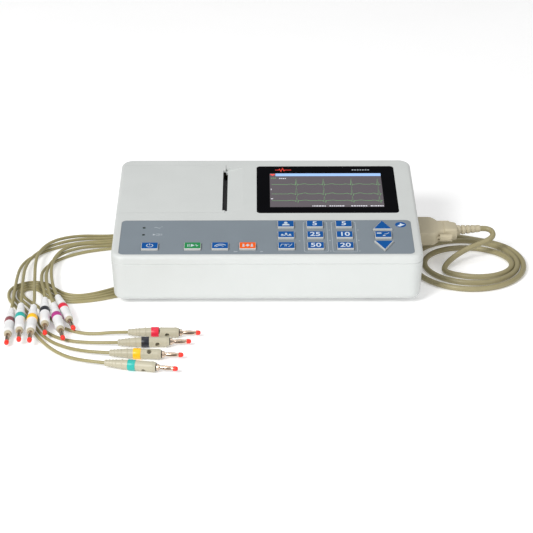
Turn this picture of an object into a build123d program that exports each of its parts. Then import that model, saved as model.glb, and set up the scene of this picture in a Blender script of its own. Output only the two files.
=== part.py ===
"""Portable three-channel ECG machine with its patient cable, in millimetres.

The device stands on its feet with +Z up and its front towards -Y.  The origin is the middle
of the device's footprint on the table.  Everything on the sloping top is placed in
top_plane: local x across, local y up the slope from the front edge, z out of the surface.
"""

import math
import os

from build123d import *

os.makedirs("parts", exist_ok=True)

# ---------------------------------------------------------------- driving dimensions
WIDTH = 290.0
DEPTH = 200.0
FOOT_HEIGHT = 5.0
PARTING_HEIGHT = 43.0
FRONT_HEIGHT = 51.0
REAR_HEIGHT = 68.0
WALL = 2.5
CORNER_RADIUS = 12.0
TOP_FILLET = 3.5
BOTTOM_FILLET = 6.0
SIDE_INSET = 2.0
GROOVE = 0.5
GAP = 0.3
SHAFT_CLEARANCE = 0.05

# Underside and rear
FOOT_PLACES = [(-100, -74), (100, -74), (-127, 83), (127, 83)]
FOOT_RADIUS = 7.0
SCREW_PLACES = [(-128, -90), (128, -90), (-120, 92), (120, 92)]
SCREW_RADIUS = 1.5
PILLAR_RADIUS = 4.2
BATTERY_CENTRE = (8, -30)
INLET_X, INLET_Z = 95, 24

# Sloping top
SLOPE = math.degrees(math.atan2(REAR_HEIGHT - FRONT_HEIGHT, DEPTH))
PANEL_CENTRE = (-0.5, 37.6)
PANEL_SIZE = (275.0, 66.3)
PANEL_RADIUS = 5.0
PANEL_RECESS = 1.0
PANEL_THICKNESS = 0.9
BEZEL_CENTRE = (59.0, 135.0)
BEZEL_SIZE = (137.2, 100.0)
BEZEL_RADIUS = 4.0
BEZEL_DEPTH = 1.6
BEZEL_LEDGE = 4.0
SCREEN_CENTRE = (58.75, 133.8)
SCREEN_SIZE = (110.7, 72.4)

# Keys
KEY_SIZE = (15.8, 12.2)
KEY_RADIUS = 1.0
KEY_TOP = 1.9
KEY_SKIRT = 2.7
KEY_FLANGE_GROW = 1.1
KEY_FLANGE_THICKNESS = 1.2
KEY_STEM_RADIUS = 2.0
KEY_STEM_END = -6.1
KEY_BOARD_TOP = -8.0
ARROW_BASE = 18.4
ARROW_HEIGHT = 17.6
KEY_PLACES = {
    "power_key": (-109.2, 18.0),
    "start_key": (-69.4, 18.0),
    "cal_key": (-43.8, 18.0),
    "stop_key": (-18.1, 18.0),
    "patient_key": (18.0, 60.1),
    "lead_key": (18.0, 39.1),
    "mode_key": (18.0, 18.0),
    "speed_5_key": (45.4, 60.1),
    "speed_25_key": (45.4, 39.1),
    "speed_50_key": (45.4, 18.0),
    "gain_5_key": (73.0, 60.1),
    "gain_10_key": (73.0, 39.1),
    "gain_20_key": (73.0, 18.0),
    "menu_key": (109.4, 38.9),
}
ARROW_PLACES = {"up_key": (109.4, 55.0, 0.0), "down_key": (109.4, 21.1, 180.0)}
LIGHT_PLACES = [(-116.2, 56.0), (-116.2, 42.3)]
LIGHT_RADIUS = 1.4

# Printer bay in the left rear of the top
BAY_RIGHT = -40.0
BAY_FRONT = 86.0
BAY_REAR = 188.0
SLOT_RIGHT = -38.2
SLOT_FRONT = 91.0
SLOT_REAR = 176.0
DOOR_SLOT_EDGE = -42.8
RAMP_RIGHT = -23.0
RAMP_FRONT = 89.4
RAMP_REAR = 181.0
RAMP_DROP = 3.0
RAIL_LEFT, RAIL_RIGHT = -140.0, BAY_RIGHT
EAR_PLACES = [89.0, 178.6]
EAR_THICKNESS = 1.8
ROLL_X, ROLL_H = -95.0, -32.0
ROLL_RADIUS = 14.5
SPINDLE_RADIUS = 6.0
PAPER_WIDTH = 80.0
PLATEN_X, PLATEN_H = -48.0, -11.0
PLATEN_RADIUS = 5.0
PLATEN_SHAFT_RADIUS = 2.0
GEAR_MODULE = 0.6
GEAR_TEETH = 20
PINION_TEETH = 10
GEAR_FRONT, GEAR_REAR = 181.2, 184.6
GEAR_SLACK = 0.1

# Patient socket and cable
SOCKET_Y, SOCKET_Z = 12.0, 27.0
SCREW_SPACING = 33.4
TRUNK_DIAMETER = 5.5
LEAD_DIAMETER = 3.0
PLUG_LENGTH = 67.5
PLUG_BODY = 46.0
PIN_RADIUS = 2.0
PIN_END = 61.5
CAP_RADIUS = 2.15
COIL_CENTRE = (196.5, -9.7)
COIL_OUTER = (57.2, 63.5)
COIL_INNER_CENTRE = (197.5, -8.5)
COIL_INNER = (39.0, 31.5)
COIL_ROUNDING = 2.6
YOKE_LEAD_FACE = 62.0
YOKE_TRUNK_FACE = 112.0
YOKE_Y = 132.0
YOKE_THICKNESS = 9.0
LEAD_PITCH = 4.4

top_plane = Plane(
    origin=(0, -DEPTH / 2, FRONT_HEIGHT),
    x_dir=(1, 0, 0),
    z_dir=(0, -math.sin(math.radians(SLOPE)), math.cos(math.radians(SLOPE))),
)
up_slope = top_plane.y_dir


def slope_point(x, v, h=0.0):
    """World place of a point at x, v up the slope and h out of the top surface."""
    return top_plane.from_local_coords(Vector(x, v, h))


def along_slope(x, h, v):
    """Plane across a shaft that runs up the slope, through x, h at distance v."""
    return Plane(origin=slope_point(x, v, h), x_dir=(1, 0, 0), z_dir=up_slope)


def finish(builder, name):
    """Labels one finished sub-part and writes it."""
    builder.part.label = name
    export_step(builder.part, f"parts/{name}.step")


# ---------------------------------------------------------------- housing
with BuildPart() as lower_case:
    with BuildSketch(Plane.XY.offset(PARTING_HEIGHT)):
        RectangleRounded(WIDTH, DEPTH, CORNER_RADIUS)
    draft = math.degrees(math.atan2(SIDE_INSET, PARTING_HEIGHT - FOOT_HEIGHT))
    extrude(amount=-(PARTING_HEIGHT - FOOT_HEIGHT), taper=draft)
    fillet(lower_case.edges().group_by(Axis.Z)[0], radius=BOTTOM_FILLET)
    chamfer(lower_case.edges().group_by(Axis.Z)[-1], length=GROOVE)
    with BuildSketch(Plane.XY.offset(PARTING_HEIGHT)):
        RectangleRounded(WIDTH - 2 * WALL, DEPTH - 2 * WALL, CORNER_RADIUS - WALL)
    extrude(amount=-(PARTING_HEIGHT - FOOT_HEIGHT - WALL), taper=draft, mode=Mode.SUBTRACT)
    # Screw pillars, each with a counterbore for the screw head
    with BuildSketch(Plane.XY.offset(FOOT_HEIGHT + WALL - 0.5)):
        with Locations(*SCREW_PLACES):
            Circle(PILLAR_RADIUS)
    extrude(amount=PARTING_HEIGHT - FOOT_HEIGHT - WALL + 0.5)
    with Locations(Plane.XY.offset(FOOT_HEIGHT) * Rotation(180, 0, 0)):
        with Locations(*[(x, -y) for x, y in SCREW_PLACES]):
            CounterBoreHole(SCREW_RADIUS + 0.2, 3.0, 2.4)
    # Battery bay through the floor, with a step for the cover
    with BuildSketch(Plane.XY.offset(FOOT_HEIGHT)):
        with Locations(BATTERY_CENTRE):
            RectangleRounded(76, 82, 3)
    extrude(amount=WALL, mode=Mode.SUBTRACT)
    with BuildSketch(Plane.XY.offset(FOOT_HEIGHT)):
        with Locations(BATTERY_CENTRE):
            RectangleRounded(84, 90, 4)
    extrude(amount=1.2, mode=Mode.SUBTRACT)
    # Posts for the main board
    with BuildSketch(Plane.XY.offset(FOOT_HEIGHT + WALL - 0.5)):
        with Locations((57, -80), (120, -78), (57, 24), (120, 24)):
            Circle(3)
    extrude(amount=23)
    # Patient socket in the right wall
    socket_plane = Plane(origin=(WIDTH / 2, SOCKET_Y, SOCKET_Z), x_dir=(0, 1, 0), z_dir=(1, 0, 0))
    with BuildSketch(socket_plane.offset(1)):
        RectangleRounded(43, 15.6, 1.5)
    extrude(amount=-3.5, mode=Mode.SUBTRACT)
    with BuildSketch(socket_plane):
        Rectangle(30.4, 12.4)
    extrude(amount=-8, mode=Mode.SUBTRACT)
    # Mains inlet in the rear wall
    inlet_plane = Plane(origin=(INLET_X, DEPTH / 2 + 1, INLET_Z), x_dir=(-1, 0, 0), z_dir=(0, 1, 0))
    with BuildSketch(inlet_plane):
        RectangleRounded(31.4, 24.4, 3.2)
    extrude(amount=-2, mode=Mode.SUBTRACT)
    with BuildSketch(inlet_plane):
        RectangleRounded(28.2, 21.2, 2)
    extrude(amount=-8, mode=Mode.SUBTRACT)
finish(lower_case, "lower_case")

with BuildPart() as upper_core:
    with BuildSketch(Plane.XY.offset(PARTING_HEIGHT - 1)):
        RectangleRounded(WIDTH - 2 * WALL, DEPTH - 2 * WALL, CORNER_RADIUS - WALL)
    extrude(amount=40)
    split(bisect_by=top_plane.offset(-WALL), keep=Keep.BOTTOM)

# The closed upper shell, from which both the upper case and the printer door are cut
with BuildPart() as upper_shell:
    with BuildSketch(Plane.XY.offset(PARTING_HEIGHT)):
        RectangleRounded(WIDTH, DEPTH, CORNER_RADIUS)
    extrude(amount=40)
    split(bisect_by=top_plane, keep=Keep.BOTTOM)
    top_face = upper_shell.faces().sort_by(Axis.Z)[-1]
    fillet(top_face.edges(), radius=TOP_FILLET)
    chamfer(upper_shell.edges().group_by(Axis.Z)[0], length=GROOVE)
    add(upper_core.part, mode=Mode.SUBTRACT)

with BuildPart() as upper_case:
    add(upper_shell.part)
    # Printer bay, open to the left, and the paper slot
    bay_width = WIDTH / 2 + 5 + BAY_RIGHT
    with BuildSketch(top_plane.offset(5)):
        with Locations((BAY_RIGHT - bay_width / 2, (BAY_FRONT + BAY_REAR) / 2)):
            Rectangle(bay_width, BAY_REAR - BAY_FRONT)
    extrude(amount=-45, mode=Mode.SUBTRACT)
    # Material under the paper ramp, then the ramp's slope cut from the top
    with BuildSketch(along_slope(0, 0, RAMP_FRONT - 2)):
        with BuildLine():
            Polyline(
                (RAMP_RIGHT + 1, WALL - 0.1),
                (BAY_RIGHT, WALL - 0.1),
                (BAY_RIGHT, RAMP_DROP + 2.4),
                (RAMP_RIGHT - 1, RAMP_DROP),
                close=True,
            )
        make_face()
    extrude(amount=RAMP_REAR - RAMP_FRONT + 4)
    with BuildSketch(along_slope(0, 0, RAMP_FRONT)):
        with BuildLine():
            Polyline(
                (RAMP_RIGHT, 0),
                (BAY_RIGHT - 1, RAMP_DROP),
                (BAY_RIGHT - 1, -2),
                (RAMP_RIGHT, -2),
                close=True,
            )
        make_face()
    extrude(amount=RAMP_REAR - RAMP_FRONT, mode=Mode.SUBTRACT)
    slot_width = SLOT_RIGHT - BAY_RIGHT
    with BuildSketch(top_plane.offset(5)):
        with Locations((BAY_RIGHT + slot_width / 2, (SLOT_FRONT + SLOT_REAR) / 2)):
            Rectangle(slot_width, SLOT_REAR - SLOT_FRONT)
    extrude(amount=-20, mode=Mode.SUBTRACT)
    # Rails under the door's front and rear edges
    rail_x = (RAIL_LEFT + RAIL_RIGHT) / 2
    with BuildSketch(top_plane.offset(-WALL - GAP)):
        with Locations((rail_x, BAY_FRONT - 1), (rail_x, BAY_REAR + 1)):
            Rectangle(RAIL_RIGHT - RAIL_LEFT, 6)
    extrude(amount=-1.8)
    with BuildSketch(top_plane.offset(-WALL + 0.5)):
        with Locations((rail_x, BAY_FRONT - 2.2), (rail_x, BAY_REAR + 2.2)):
            Rectangle(RAIL_RIGHT - RAIL_LEFT, 3.6)
    extrude(amount=-1.5)
    # Recess and holes for the keypad
    with BuildSketch(top_plane):
        with Locations(PANEL_CENTRE):
            RectangleRounded(PANEL_SIZE[0], PANEL_SIZE[1], PANEL_RADIUS)
    extrude(amount=-PANEL_RECESS, mode=Mode.SUBTRACT)
    with BuildSketch(top_plane):
        with Locations(*KEY_PLACES.values()):
            RectangleRounded(KEY_SIZE[0] + 2 * GAP, KEY_SIZE[1] + 2 * GAP, KEY_RADIUS)
        with Locations(*LIGHT_PLACES):
            Circle(LIGHT_RADIUS + 0.1)
    extrude(amount=-WALL - 1, mode=Mode.SUBTRACT)
    # Recess and opening for the display
    with BuildSketch(top_plane):
        with Locations(BEZEL_CENTRE):
            RectangleRounded(BEZEL_SIZE[0], BEZEL_SIZE[1], BEZEL_RADIUS)
    extrude(amount=-BEZEL_DEPTH, mode=Mode.SUBTRACT)
    with BuildSketch(top_plane):
        with Locations(BEZEL_CENTRE):
            Rectangle(BEZEL_SIZE[0] - 2 * BEZEL_LEDGE, BEZEL_SIZE[1] - 2 * BEZEL_LEDGE)
    extrude(amount=-WALL - 1, mode=Mode.SUBTRACT)


def arrow_corners(grow=0.0):
    """Corners of an upward arrow key about its incentre, each side moved out by grow."""
    side = math.hypot(ARROW_BASE / 2, ARROW_HEIGHT)
    inradius = ARROW_BASE * ARROW_HEIGHT / (ARROW_BASE + 2 * side)
    scale = 1 + grow / inradius
    half = ARROW_BASE / 2
    corners = [(-half, -inradius), (half, -inradius), (0, ARROW_HEIGHT - inradius)]
    return [(x * scale, y * scale) for x, y in corners]


def arrow_face(place, grow=0.0):
    """Adds one arrow outline to the sketch in progress."""
    x, v, turn = place
    with Locations(Location((x, v, 0), (0, 0, turn))):
        Polygon(*arrow_corners(grow), align=None)


with BuildPart() as upper_case_drilled:
    add(upper_case.part)
    with BuildSketch(top_plane):
        for place in ARROW_PLACES.values():
            arrow_face(place, GAP)
    extrude(amount=-WALL - 1, mode=Mode.SUBTRACT)
    # Screw bosses above the lower case's pillars
    with BuildSketch(Plane.XY.offset(PARTING_HEIGHT)):
        with Locations(*SCREW_PLACES[:2]):
            Circle(3.4)
    extrude(amount=6.8)
    with BuildSketch(Plane.XY.offset(PARTING_HEIGHT)):
        with Locations(*SCREW_PLACES[2:]):
            Circle(3.4)
    extrude(amount=22)
    with BuildSketch(Plane.XY.offset(PARTING_HEIGHT)):
        with Locations(*SCREW_PLACES):
            Circle(SCREW_RADIUS)
    extrude(amount=5.5, mode=Mode.SUBTRACT)
finish(upper_case_drilled, "upper_case")

with BuildPart() as keypad_panel:
    with BuildSketch(top_plane.offset(-PANEL_RECESS)):
        with Locations(PANEL_CENTRE):
            RectangleRounded(PANEL_SIZE[0] - 0.4, PANEL_SIZE[1] - 0.4, PANEL_RADIUS - 0.2)
        with Locations(*KEY_PLACES.values()):
            RectangleRounded(
                KEY_SIZE[0] + 2 * GAP, KEY_SIZE[1] + 2 * GAP, KEY_RADIUS, mode=Mode.SUBTRACT
            )
        with Locations(*LIGHT_PLACES):
            Circle(LIGHT_RADIUS + 0.1, mode=Mode.SUBTRACT)
    extrude(amount=PANEL_THICKNESS)
    with BuildSketch(top_plane.offset(-PANEL_RECESS)):
        for place in ARROW_PLACES.values():
            arrow_face(place, GAP)
    extrude(amount=PANEL_THICKNESS, mode=Mode.SUBTRACT)
finish(keypad_panel, "keypad_panel")

with BuildPart() as display_bezel:
    with BuildSketch(top_plane.offset(-BEZEL_DEPTH)):
        with Locations(BEZEL_CENTRE):
            RectangleRounded(BEZEL_SIZE[0] - 0.4, BEZEL_SIZE[1] - 0.4, BEZEL_RADIUS - 0.2)
        with Locations(SCREEN_CENTRE):
            Rectangle(*SCREEN_SIZE, mode=Mode.SUBTRACT)
    extrude(amount=BEZEL_DEPTH - 0.1)
finish(display_bezel, "display_bezel")

with BuildPart() as lcd_panel:
    with BuildSketch(top_plane.offset(-BEZEL_DEPTH)):
        with Locations(SCREEN_CENTRE):
            Rectangle(SCREEN_SIZE[0] + 8, SCREEN_SIZE[1] + 8)
    extrude(amount=-4.5)
    with BuildSketch(top_plane.offset(-BEZEL_DEPTH)):
        with Locations(SCREEN_CENTRE):
            Rectangle(SCREEN_SIZE[0] - 0.2, SCREEN_SIZE[1] - 0.2)
    extrude(amount=1.2)
finish(lcd_panel, "lcd_panel")

# ---------------------------------------------------------------- printer
with BuildPart() as printer_door:
    add(upper_shell.part)
    door_width = WIDTH / 2 + 5 + BAY_RIGHT - GAP
    with BuildSketch(top_plane.offset(5)):
        with Locations((BAY_RIGHT - GAP - door_width / 2, (BAY_FRONT + BAY_REAR) / 2)):
            Rectangle(door_width, BAY_REAR - BAY_FRONT - 2 * GAP)
    extrude(amount=-45, mode=Mode.INTERSECT)
    with BuildSketch(Plane.XY.offset(PARTING_HEIGHT - 1)):
        Rectangle(WIDTH + 20, DEPTH)
    extrude(amount=1 + GROOVE, mode=Mode.SUBTRACT)
    # The paper slot's edge
    with BuildSketch(top_plane.offset(5)):
        with Locations((DOOR_SLOT_EDGE + 5, (SLOT_FRONT + SLOT_REAR) / 2)):
            Rectangle(10, SLOT_REAR - SLOT_FRONT)
    extrude(amount=-20, mode=Mode.SUBTRACT)
    # Two ears that carry the platen shaft
    for ear_v in EAR_PLACES:
        with BuildSketch(along_slope(PLATEN_X, 0, ear_v)):
            with Locations((0, -PLATEN_H / 2 + 0.5)):
                Rectangle(8, -PLATEN_H - 3)
            with Locations((0, -PLATEN_H)):
                Circle(4)
        extrude(amount=EAR_THICKNESS)
    with BuildSketch(along_slope(PLATEN_X, PLATEN_H, 85)):
        Circle(PLATEN_SHAFT_RADIUS + SHAFT_CLEARANCE)
    extrude(amount=100, mode=Mode.SUBTRACT)
    # Finger ridge inside the skirt
    with BuildSketch(top_plane.offset(-WALL + 0.2)):
        with Locations((-100, 137)):
            Rectangle(60, 1.6)
    extrude(amount=-1.8)
finish(printer_door, "printer_door")

with BuildPart() as platen_roller:
    with BuildSketch(along_slope(PLATEN_X, PLATEN_H, 92)):
        Circle(PLATEN_RADIUS)
    extrude(amount=83)
    with BuildSketch(along_slope(PLATEN_X, PLATEN_H, 88.4)):
        Circle(PLATEN_SHAFT_RADIUS)
    extrude(amount=97)
finish(platen_roller, "platen_roller")


def gear_outline(teeth, phase):
    """Corner points of a straight-flanked gear, with one tooth centred at phase degrees."""
    pitch = GEAR_MODULE * teeth / 2
    points = []
    for number in range(teeth):
        middle = math.radians(phase + 360 * number / teeth)
        for radius, half in (
            (pitch - 0.7, 0.50),
            (pitch + 0.55, 0.22),
            (pitch + 0.55, -0.22),
            (pitch - 0.7, -0.50),
        ):
            angle = middle - half / radius
            points.append((radius * math.cos(angle), radius * math.sin(angle)))
    return points


with BuildPart() as platen_gear:
    with BuildSketch(along_slope(PLATEN_X, PLATEN_H, GEAR_FRONT)):
        Polygon(*gear_outline(GEAR_TEETH, 0), align=None)
        Circle(PLATEN_SHAFT_RADIUS, mode=Mode.SUBTRACT)
    extrude(amount=GEAR_REAR - GEAR_FRONT)
finish(platen_gear, "platen_gear")

PINION_X = PLATEN_X + GEAR_MODULE * (GEAR_TEETH + PINION_TEETH) / 2 + GEAR_SLACK
PINION_SHAFT_RADIUS = 1.0
MOTOR_FRONT = 186.4
with BuildPart() as motor_pinion:
    with BuildSketch(along_slope(PINION_X, PLATEN_H, GEAR_FRONT)):
        Polygon(*gear_outline(PINION_TEETH, 180 / PINION_TEETH), align=None)
    extrude(amount=GEAR_REAR - GEAR_FRONT)
    with BuildSketch(along_slope(PINION_X, PLATEN_H, GEAR_REAR - 1)):
        Circle(PINION_SHAFT_RADIUS)
    extrude(amount=MOTOR_FRONT + 4 - GEAR_REAR)
finish(motor_pinion, "motor_pinion")

with BuildPart() as stepper_motor:
    with BuildSketch(along_slope(PINION_X, PLATEN_H - 0.5, MOTOR_FRONT)):
        Circle(7.0)
    extrude(amount=8.6)
    with BuildSketch(along_slope(PINION_X, PLATEN_H - 2, MOTOR_FRONT)):
        SlotOverall(24, 9)
    extrude(amount=1)
    # Mounting leg down to the floor of the case
    with BuildSketch(Plane.XY.offset(FOOT_HEIGHT + WALL)):
        with Locations((PINION_X + 3, 90.0)):
            Rectangle(12, 4.4)
    extrude(amount=42)
    with BuildSketch(along_slope(PINION_X, PLATEN_H, MOTOR_FRONT)):
        Circle(PINION_SHAFT_RADIUS + SHAFT_CLEARANCE)
    extrude(amount=5, mode=Mode.SUBTRACT)
finish(stepper_motor, "stepper_motor")

HEAD_LEFT = -42.5
with BuildPart() as print_head:
    with BuildSketch(top_plane.offset(-20)):
        with Locations((HEAD_LEFT + 0.8, 133.5)):
            Rectangle(1.6, 83)
        with Locations((HEAD_LEFT + 3.1, 133.5)):
            Rectangle(3, 70)
    extrude(amount=12.6)
    with BuildSketch(top_plane.offset(-20)):
        with Locations((HEAD_LEFT + 8, 133.5)):
            Rectangle(16, 83)
    extrude(amount=1.6)
    with BuildSketch(Plane.XY.offset(FOOT_HEIGHT + WALL)):
        with Locations((HEAD_LEFT + 11, 0), (HEAD_LEFT + 11, 62)):
            Circle(3)
    extrude(amount=33)
finish(print_head, "print_head")

TRAY_LEFT, TRAY_RIGHT = -134.0, -56.0
TRAY_FRONT, TRAY_REAR = 88.6, 178.0
TRAY_FLOOR, TRAY_TOP = -49.0, -19.0
TRAY_WALL = 1.5
with BuildPart() as paper_tray:
    tray_middle = ((TRAY_LEFT + TRAY_RIGHT) / 2, (TRAY_FRONT + TRAY_REAR) / 2)
    with BuildSketch(top_plane.offset(TRAY_FLOOR)):
        with Locations(tray_middle):
            Rectangle(TRAY_RIGHT - TRAY_LEFT, TRAY_REAR - TRAY_FRONT)
    extrude(amount=TRAY_TOP - TRAY_FLOOR)
    with BuildSketch(top_plane.offset(TRAY_FLOOR + TRAY_WALL)):
        with Locations(tray_middle):
            Rectangle(
                TRAY_RIGHT - TRAY_LEFT - 2 * TRAY_WALL, TRAY_REAR - TRAY_FRONT - 2 * TRAY_WALL
            )
    extrude(amount=TRAY_TOP - TRAY_FLOOR, mode=Mode.SUBTRACT)
    # Spindle that the roll turns on
    with BuildSketch(along_slope(ROLL_X, ROLL_H, TRAY_FRONT + 0.5)):
        Circle(SPINDLE_RADIUS)
    extrude(amount=TRAY_REAR - TRAY_FRONT - 1)
    # Legs to the floor of the case
    for leg_y, leg_height in ((-4.0, 5.5), (66.0, 10.0)):
        with BuildSketch(Plane.XY.offset(FOOT_HEIGHT + WALL)):
            with Locations((TRAY_LEFT + 10, leg_y), (TRAY_RIGHT - 10, leg_y)):
                Circle(4)
        extrude(amount=leg_height)
finish(paper_tray, "paper_tray")

with BuildPart() as paper_roll:
    with BuildSketch(along_slope(ROLL_X, ROLL_H, 133.5 - PAPER_WIDTH / 2)):
        Circle(ROLL_RADIUS)
        Circle(SPINDLE_RADIUS + SHAFT_CLEARANCE, mode=Mode.SUBTRACT)
    extrude(amount=PAPER_WIDTH)
finish(paper_roll, "paper_roll")

# ---------------------------------------------------------------- electronics
with BuildPart() as keypad_board:
    with BuildSketch(top_plane.offset(KEY_BOARD_TOP)):
        with Locations((0, 41)):
            Rectangle(246, 60)
    extrude(amount=-1.6)
    with BuildSketch(top_plane.offset(KEY_BOARD_TOP)):
        with Locations(*LIGHT_PLACES):
            Circle(LIGHT_RADIUS)
    extrude(amount=-KEY_BOARD_TOP)
finish(keypad_board, "keypad_board")

with BuildPart() as main_board:
    with BuildSketch(Plane.XY.offset(FOOT_HEIGHT + WALL + 22.5)):
        with Locations((52, -27)):
            Rectangle(152, 116)
    extrude(amount=1.6)
    with BuildSketch(Plane.XY.offset(FOOT_HEIGHT + WALL + 24.1)):
        with Locations((20, -40), (70, -10)):
            Rectangle(20, 20)
        with Locations((60, -60), (0, 5), (100, -50), (40, 8)):
            Rectangle(10, 14)
    extrude(amount=1.8)
    with BuildSketch(Plane.XY.offset(FOOT_HEIGHT + WALL + 24.1)):
        with Locations((118, -10), (-20, -60)):
            Rectangle(6, 26)
    extrude(amount=5)
finish(main_board, "main_board")

CELL_RADIUS = 9.1
CELL_LENGTH = 67.0
with BuildPart() as battery_pack:
    for cell in range(4):
        cell_start = BATTERY_CENTRE[0] - CELL_LENGTH / 2
        cell_y = BATTERY_CENTRE[1] + (cell - 1.5) * 18.0
        with BuildSketch(Plane(origin=(cell_start, cell_y, 17.2), x_dir=(0, 1, 0), z_dir=(1, 0, 0))):
            Circle(CELL_RADIUS)
        extrude(amount=CELL_LENGTH)
finish(battery_pack, "battery_pack")

with BuildPart() as battery_cover:
    with BuildSketch(Plane.XY.offset(FOOT_HEIGHT)):
        with Locations(BATTERY_CENTRE):
            RectangleRounded(83.4, 89.4, 3.7)
    extrude(amount=1.2)
    with BuildSketch(Plane.XY.offset(FOOT_HEIGHT + 1.2)):
        with Locations(BATTERY_CENTRE):
            RectangleRounded(75.4, 81.4, 2.7)
    extrude(amount=WALL - 1.2)
    # Finger notch
    with BuildSketch(Plane.XY.offset(FOOT_HEIGHT)):
        with Locations((BATTERY_CENTRE[0], BATTERY_CENTRE[1] - 38)):
            SlotOverall(18, 6)
    extrude(amount=1.0, mode=Mode.SUBTRACT)
finish(battery_cover, "battery_cover")

with BuildPart() as power_supply:
    with BuildSketch(Plane.XY.offset(FOOT_HEIGHT + WALL)):
        with Locations((60, 62)):
            Rectangle(92, 52)
    extrude(amount=1.6)
    with BuildSketch(Plane.XY.offset(FOOT_HEIGHT + WALL + 1.6)):
        with Locations((52, 60)):
            RectangleRounded(34, 30, 2)
    extrude(amount=26)
    with BuildSketch(Plane.XY.offset(FOOT_HEIGHT + WALL + 1.6)):
        with Locations((26, 48), (26, 74)):
            Circle(7)
    extrude(amount=20)
finish(power_supply, "power_supply")

with BuildPart() as mains_inlet:
    flange_plane = Plane(
        origin=(INLET_X, DEPTH / 2, INLET_Z), x_dir=(-1, 0, 0), z_dir=(0, 1, 0)
    )
    with BuildSketch(flange_plane):
        RectangleRounded(31, 24, 3)
    extrude(amount=-1.0)
    with BuildSketch(flange_plane):
        RectangleRounded(27.6, 20.6, 2)
    extrude(amount=-20)
    with BuildSketch(flange_plane):
        RectangleRounded(24.2, 16.8, 3)
    extrude(amount=-16, mode=Mode.SUBTRACT)
    with BuildSketch(flange_plane.offset(-16)):
        with Locations((-7, -2.5), (7, -2.5), (0, 2.5)):
            Rectangle(2, 4)
    extrude(amount=12)
finish(mains_inlet, "mains_inlet")

with BuildPart() as patient_socket:
    with BuildSketch(socket_plane.offset(-2.5)):
        RectangleRounded(42.4, 15, 1.2)
    extrude(amount=2.5)
    with BuildSketch(socket_plane.offset(-2.5)):
        Rectangle(29.6, 11.8)
    extrude(amount=-10)
    with BuildSketch(socket_plane):
        RectangleRounded(25.4, 8.4, 2)
    extrude(amount=-6.5, mode=Mode.SUBTRACT)
    with BuildSketch(socket_plane):
        with Locations((-SCREW_SPACING / 2, 0), (SCREW_SPACING / 2, 0)):
            Circle(SCREW_RADIUS + SHAFT_CLEARANCE)
    extrude(amount=-2.5, mode=Mode.SUBTRACT)
finish(patient_socket, "patient_socket")

with BuildPart() as rubber_feet:
    with BuildSketch(Plane.XY):
        with Locations(*FOOT_PLACES):
            Circle(FOOT_RADIUS)
    extrude(amount=FOOT_HEIGHT)
    fillet(rubber_feet.edges().group_by(Axis.Z)[0], radius=1.0)
finish(rubber_feet, "rubber_feet")

with BuildPart() as case_screws:
    with BuildSketch(Plane.XY.offset(FOOT_HEIGHT + 0.4)):
        with Locations(*SCREW_PLACES):
            Circle(2.8)
    extrude(amount=2.0)
    with BuildSketch(Plane.XY.offset(FOOT_HEIGHT + 2.4)):
        with Locations(*SCREW_PLACES):
            Circle(SCREW_RADIUS)
    extrude(amount=PARTING_HEIGHT + 5 - FOOT_HEIGHT - 2.4)
    with BuildSketch(Plane.XY.offset(FOOT_HEIGHT + 0.4)):
        with Locations(*SCREW_PLACES):
            Rectangle(3.2, 0.7)
            Rectangle(0.7, 3.2)
    extrude(amount=1.0, mode=Mode.SUBTRACT)
finish(case_screws, "case_screws")

# ---------------------------------------------------------------- keys
for key_name, key_place in KEY_PLACES.items():
    with BuildPart() as key:
        with BuildSketch(top_plane.offset(-KEY_SKIRT - 0.1)):
            with Locations(key_place):
                RectangleRounded(KEY_SIZE[0], KEY_SIZE[1], KEY_RADIUS)
        extrude(amount=KEY_TOP + KEY_SKIRT + 0.1)
        key_face = key.faces().sort_by(Axis.Z)[-1]
        fillet(key_face.edges(), radius=0.6)
        with BuildSketch(top_plane.offset(-KEY_SKIRT)):
            with Locations(key_place):
                Rectangle(KEY_SIZE[0] + 2 * KEY_FLANGE_GROW, KEY_SIZE[1] + 2 * KEY_FLANGE_GROW)
        extrude(amount=-KEY_FLANGE_THICKNESS)
        with BuildSketch(top_plane.offset(KEY_STEM_END)):
            with Locations(key_place):
                Circle(KEY_STEM_RADIUS)
        extrude(amount=-KEY_STEM_END - KEY_SKIRT)
    finish(key, key_name)

for key_name, key_place in ARROW_PLACES.items():
    with BuildPart() as key:
        with BuildSketch(top_plane.offset(-KEY_SKIRT - 0.1)):
            arrow_face(key_place)
        extrude(amount=KEY_TOP + KEY_SKIRT + 0.1)
        key_face = key.faces().sort_by(Axis.Z)[-1]
        fillet(key_face.edges(), radius=0.6)
        with BuildSketch(top_plane.offset(-KEY_SKIRT)):
            arrow_face(key_place, KEY_FLANGE_GROW)
        extrude(amount=-KEY_FLANGE_THICKNESS)
        with BuildSketch(top_plane.offset(KEY_STEM_END)):
            with Locations(key_place[:2]):
                Circle(KEY_STEM_RADIUS)
        extrude(amount=-KEY_STEM_END - KEY_SKIRT)
    finish(key, key_name)

# ---------------------------------------------------------------- patient plug
PLUG_FACE = WIDTH / 2
HOOD_END = 167.0
HOOD_TAIL = 186.0
KNOB_START, KNOB_END = 168.2, 180.2


def plug_plane(x):
    """Plane across the patient plug at x."""
    return Plane(origin=(x, SOCKET_Y, SOCKET_Z), x_dir=(0, 1, 0), z_dir=(1, 0, 0))


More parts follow.
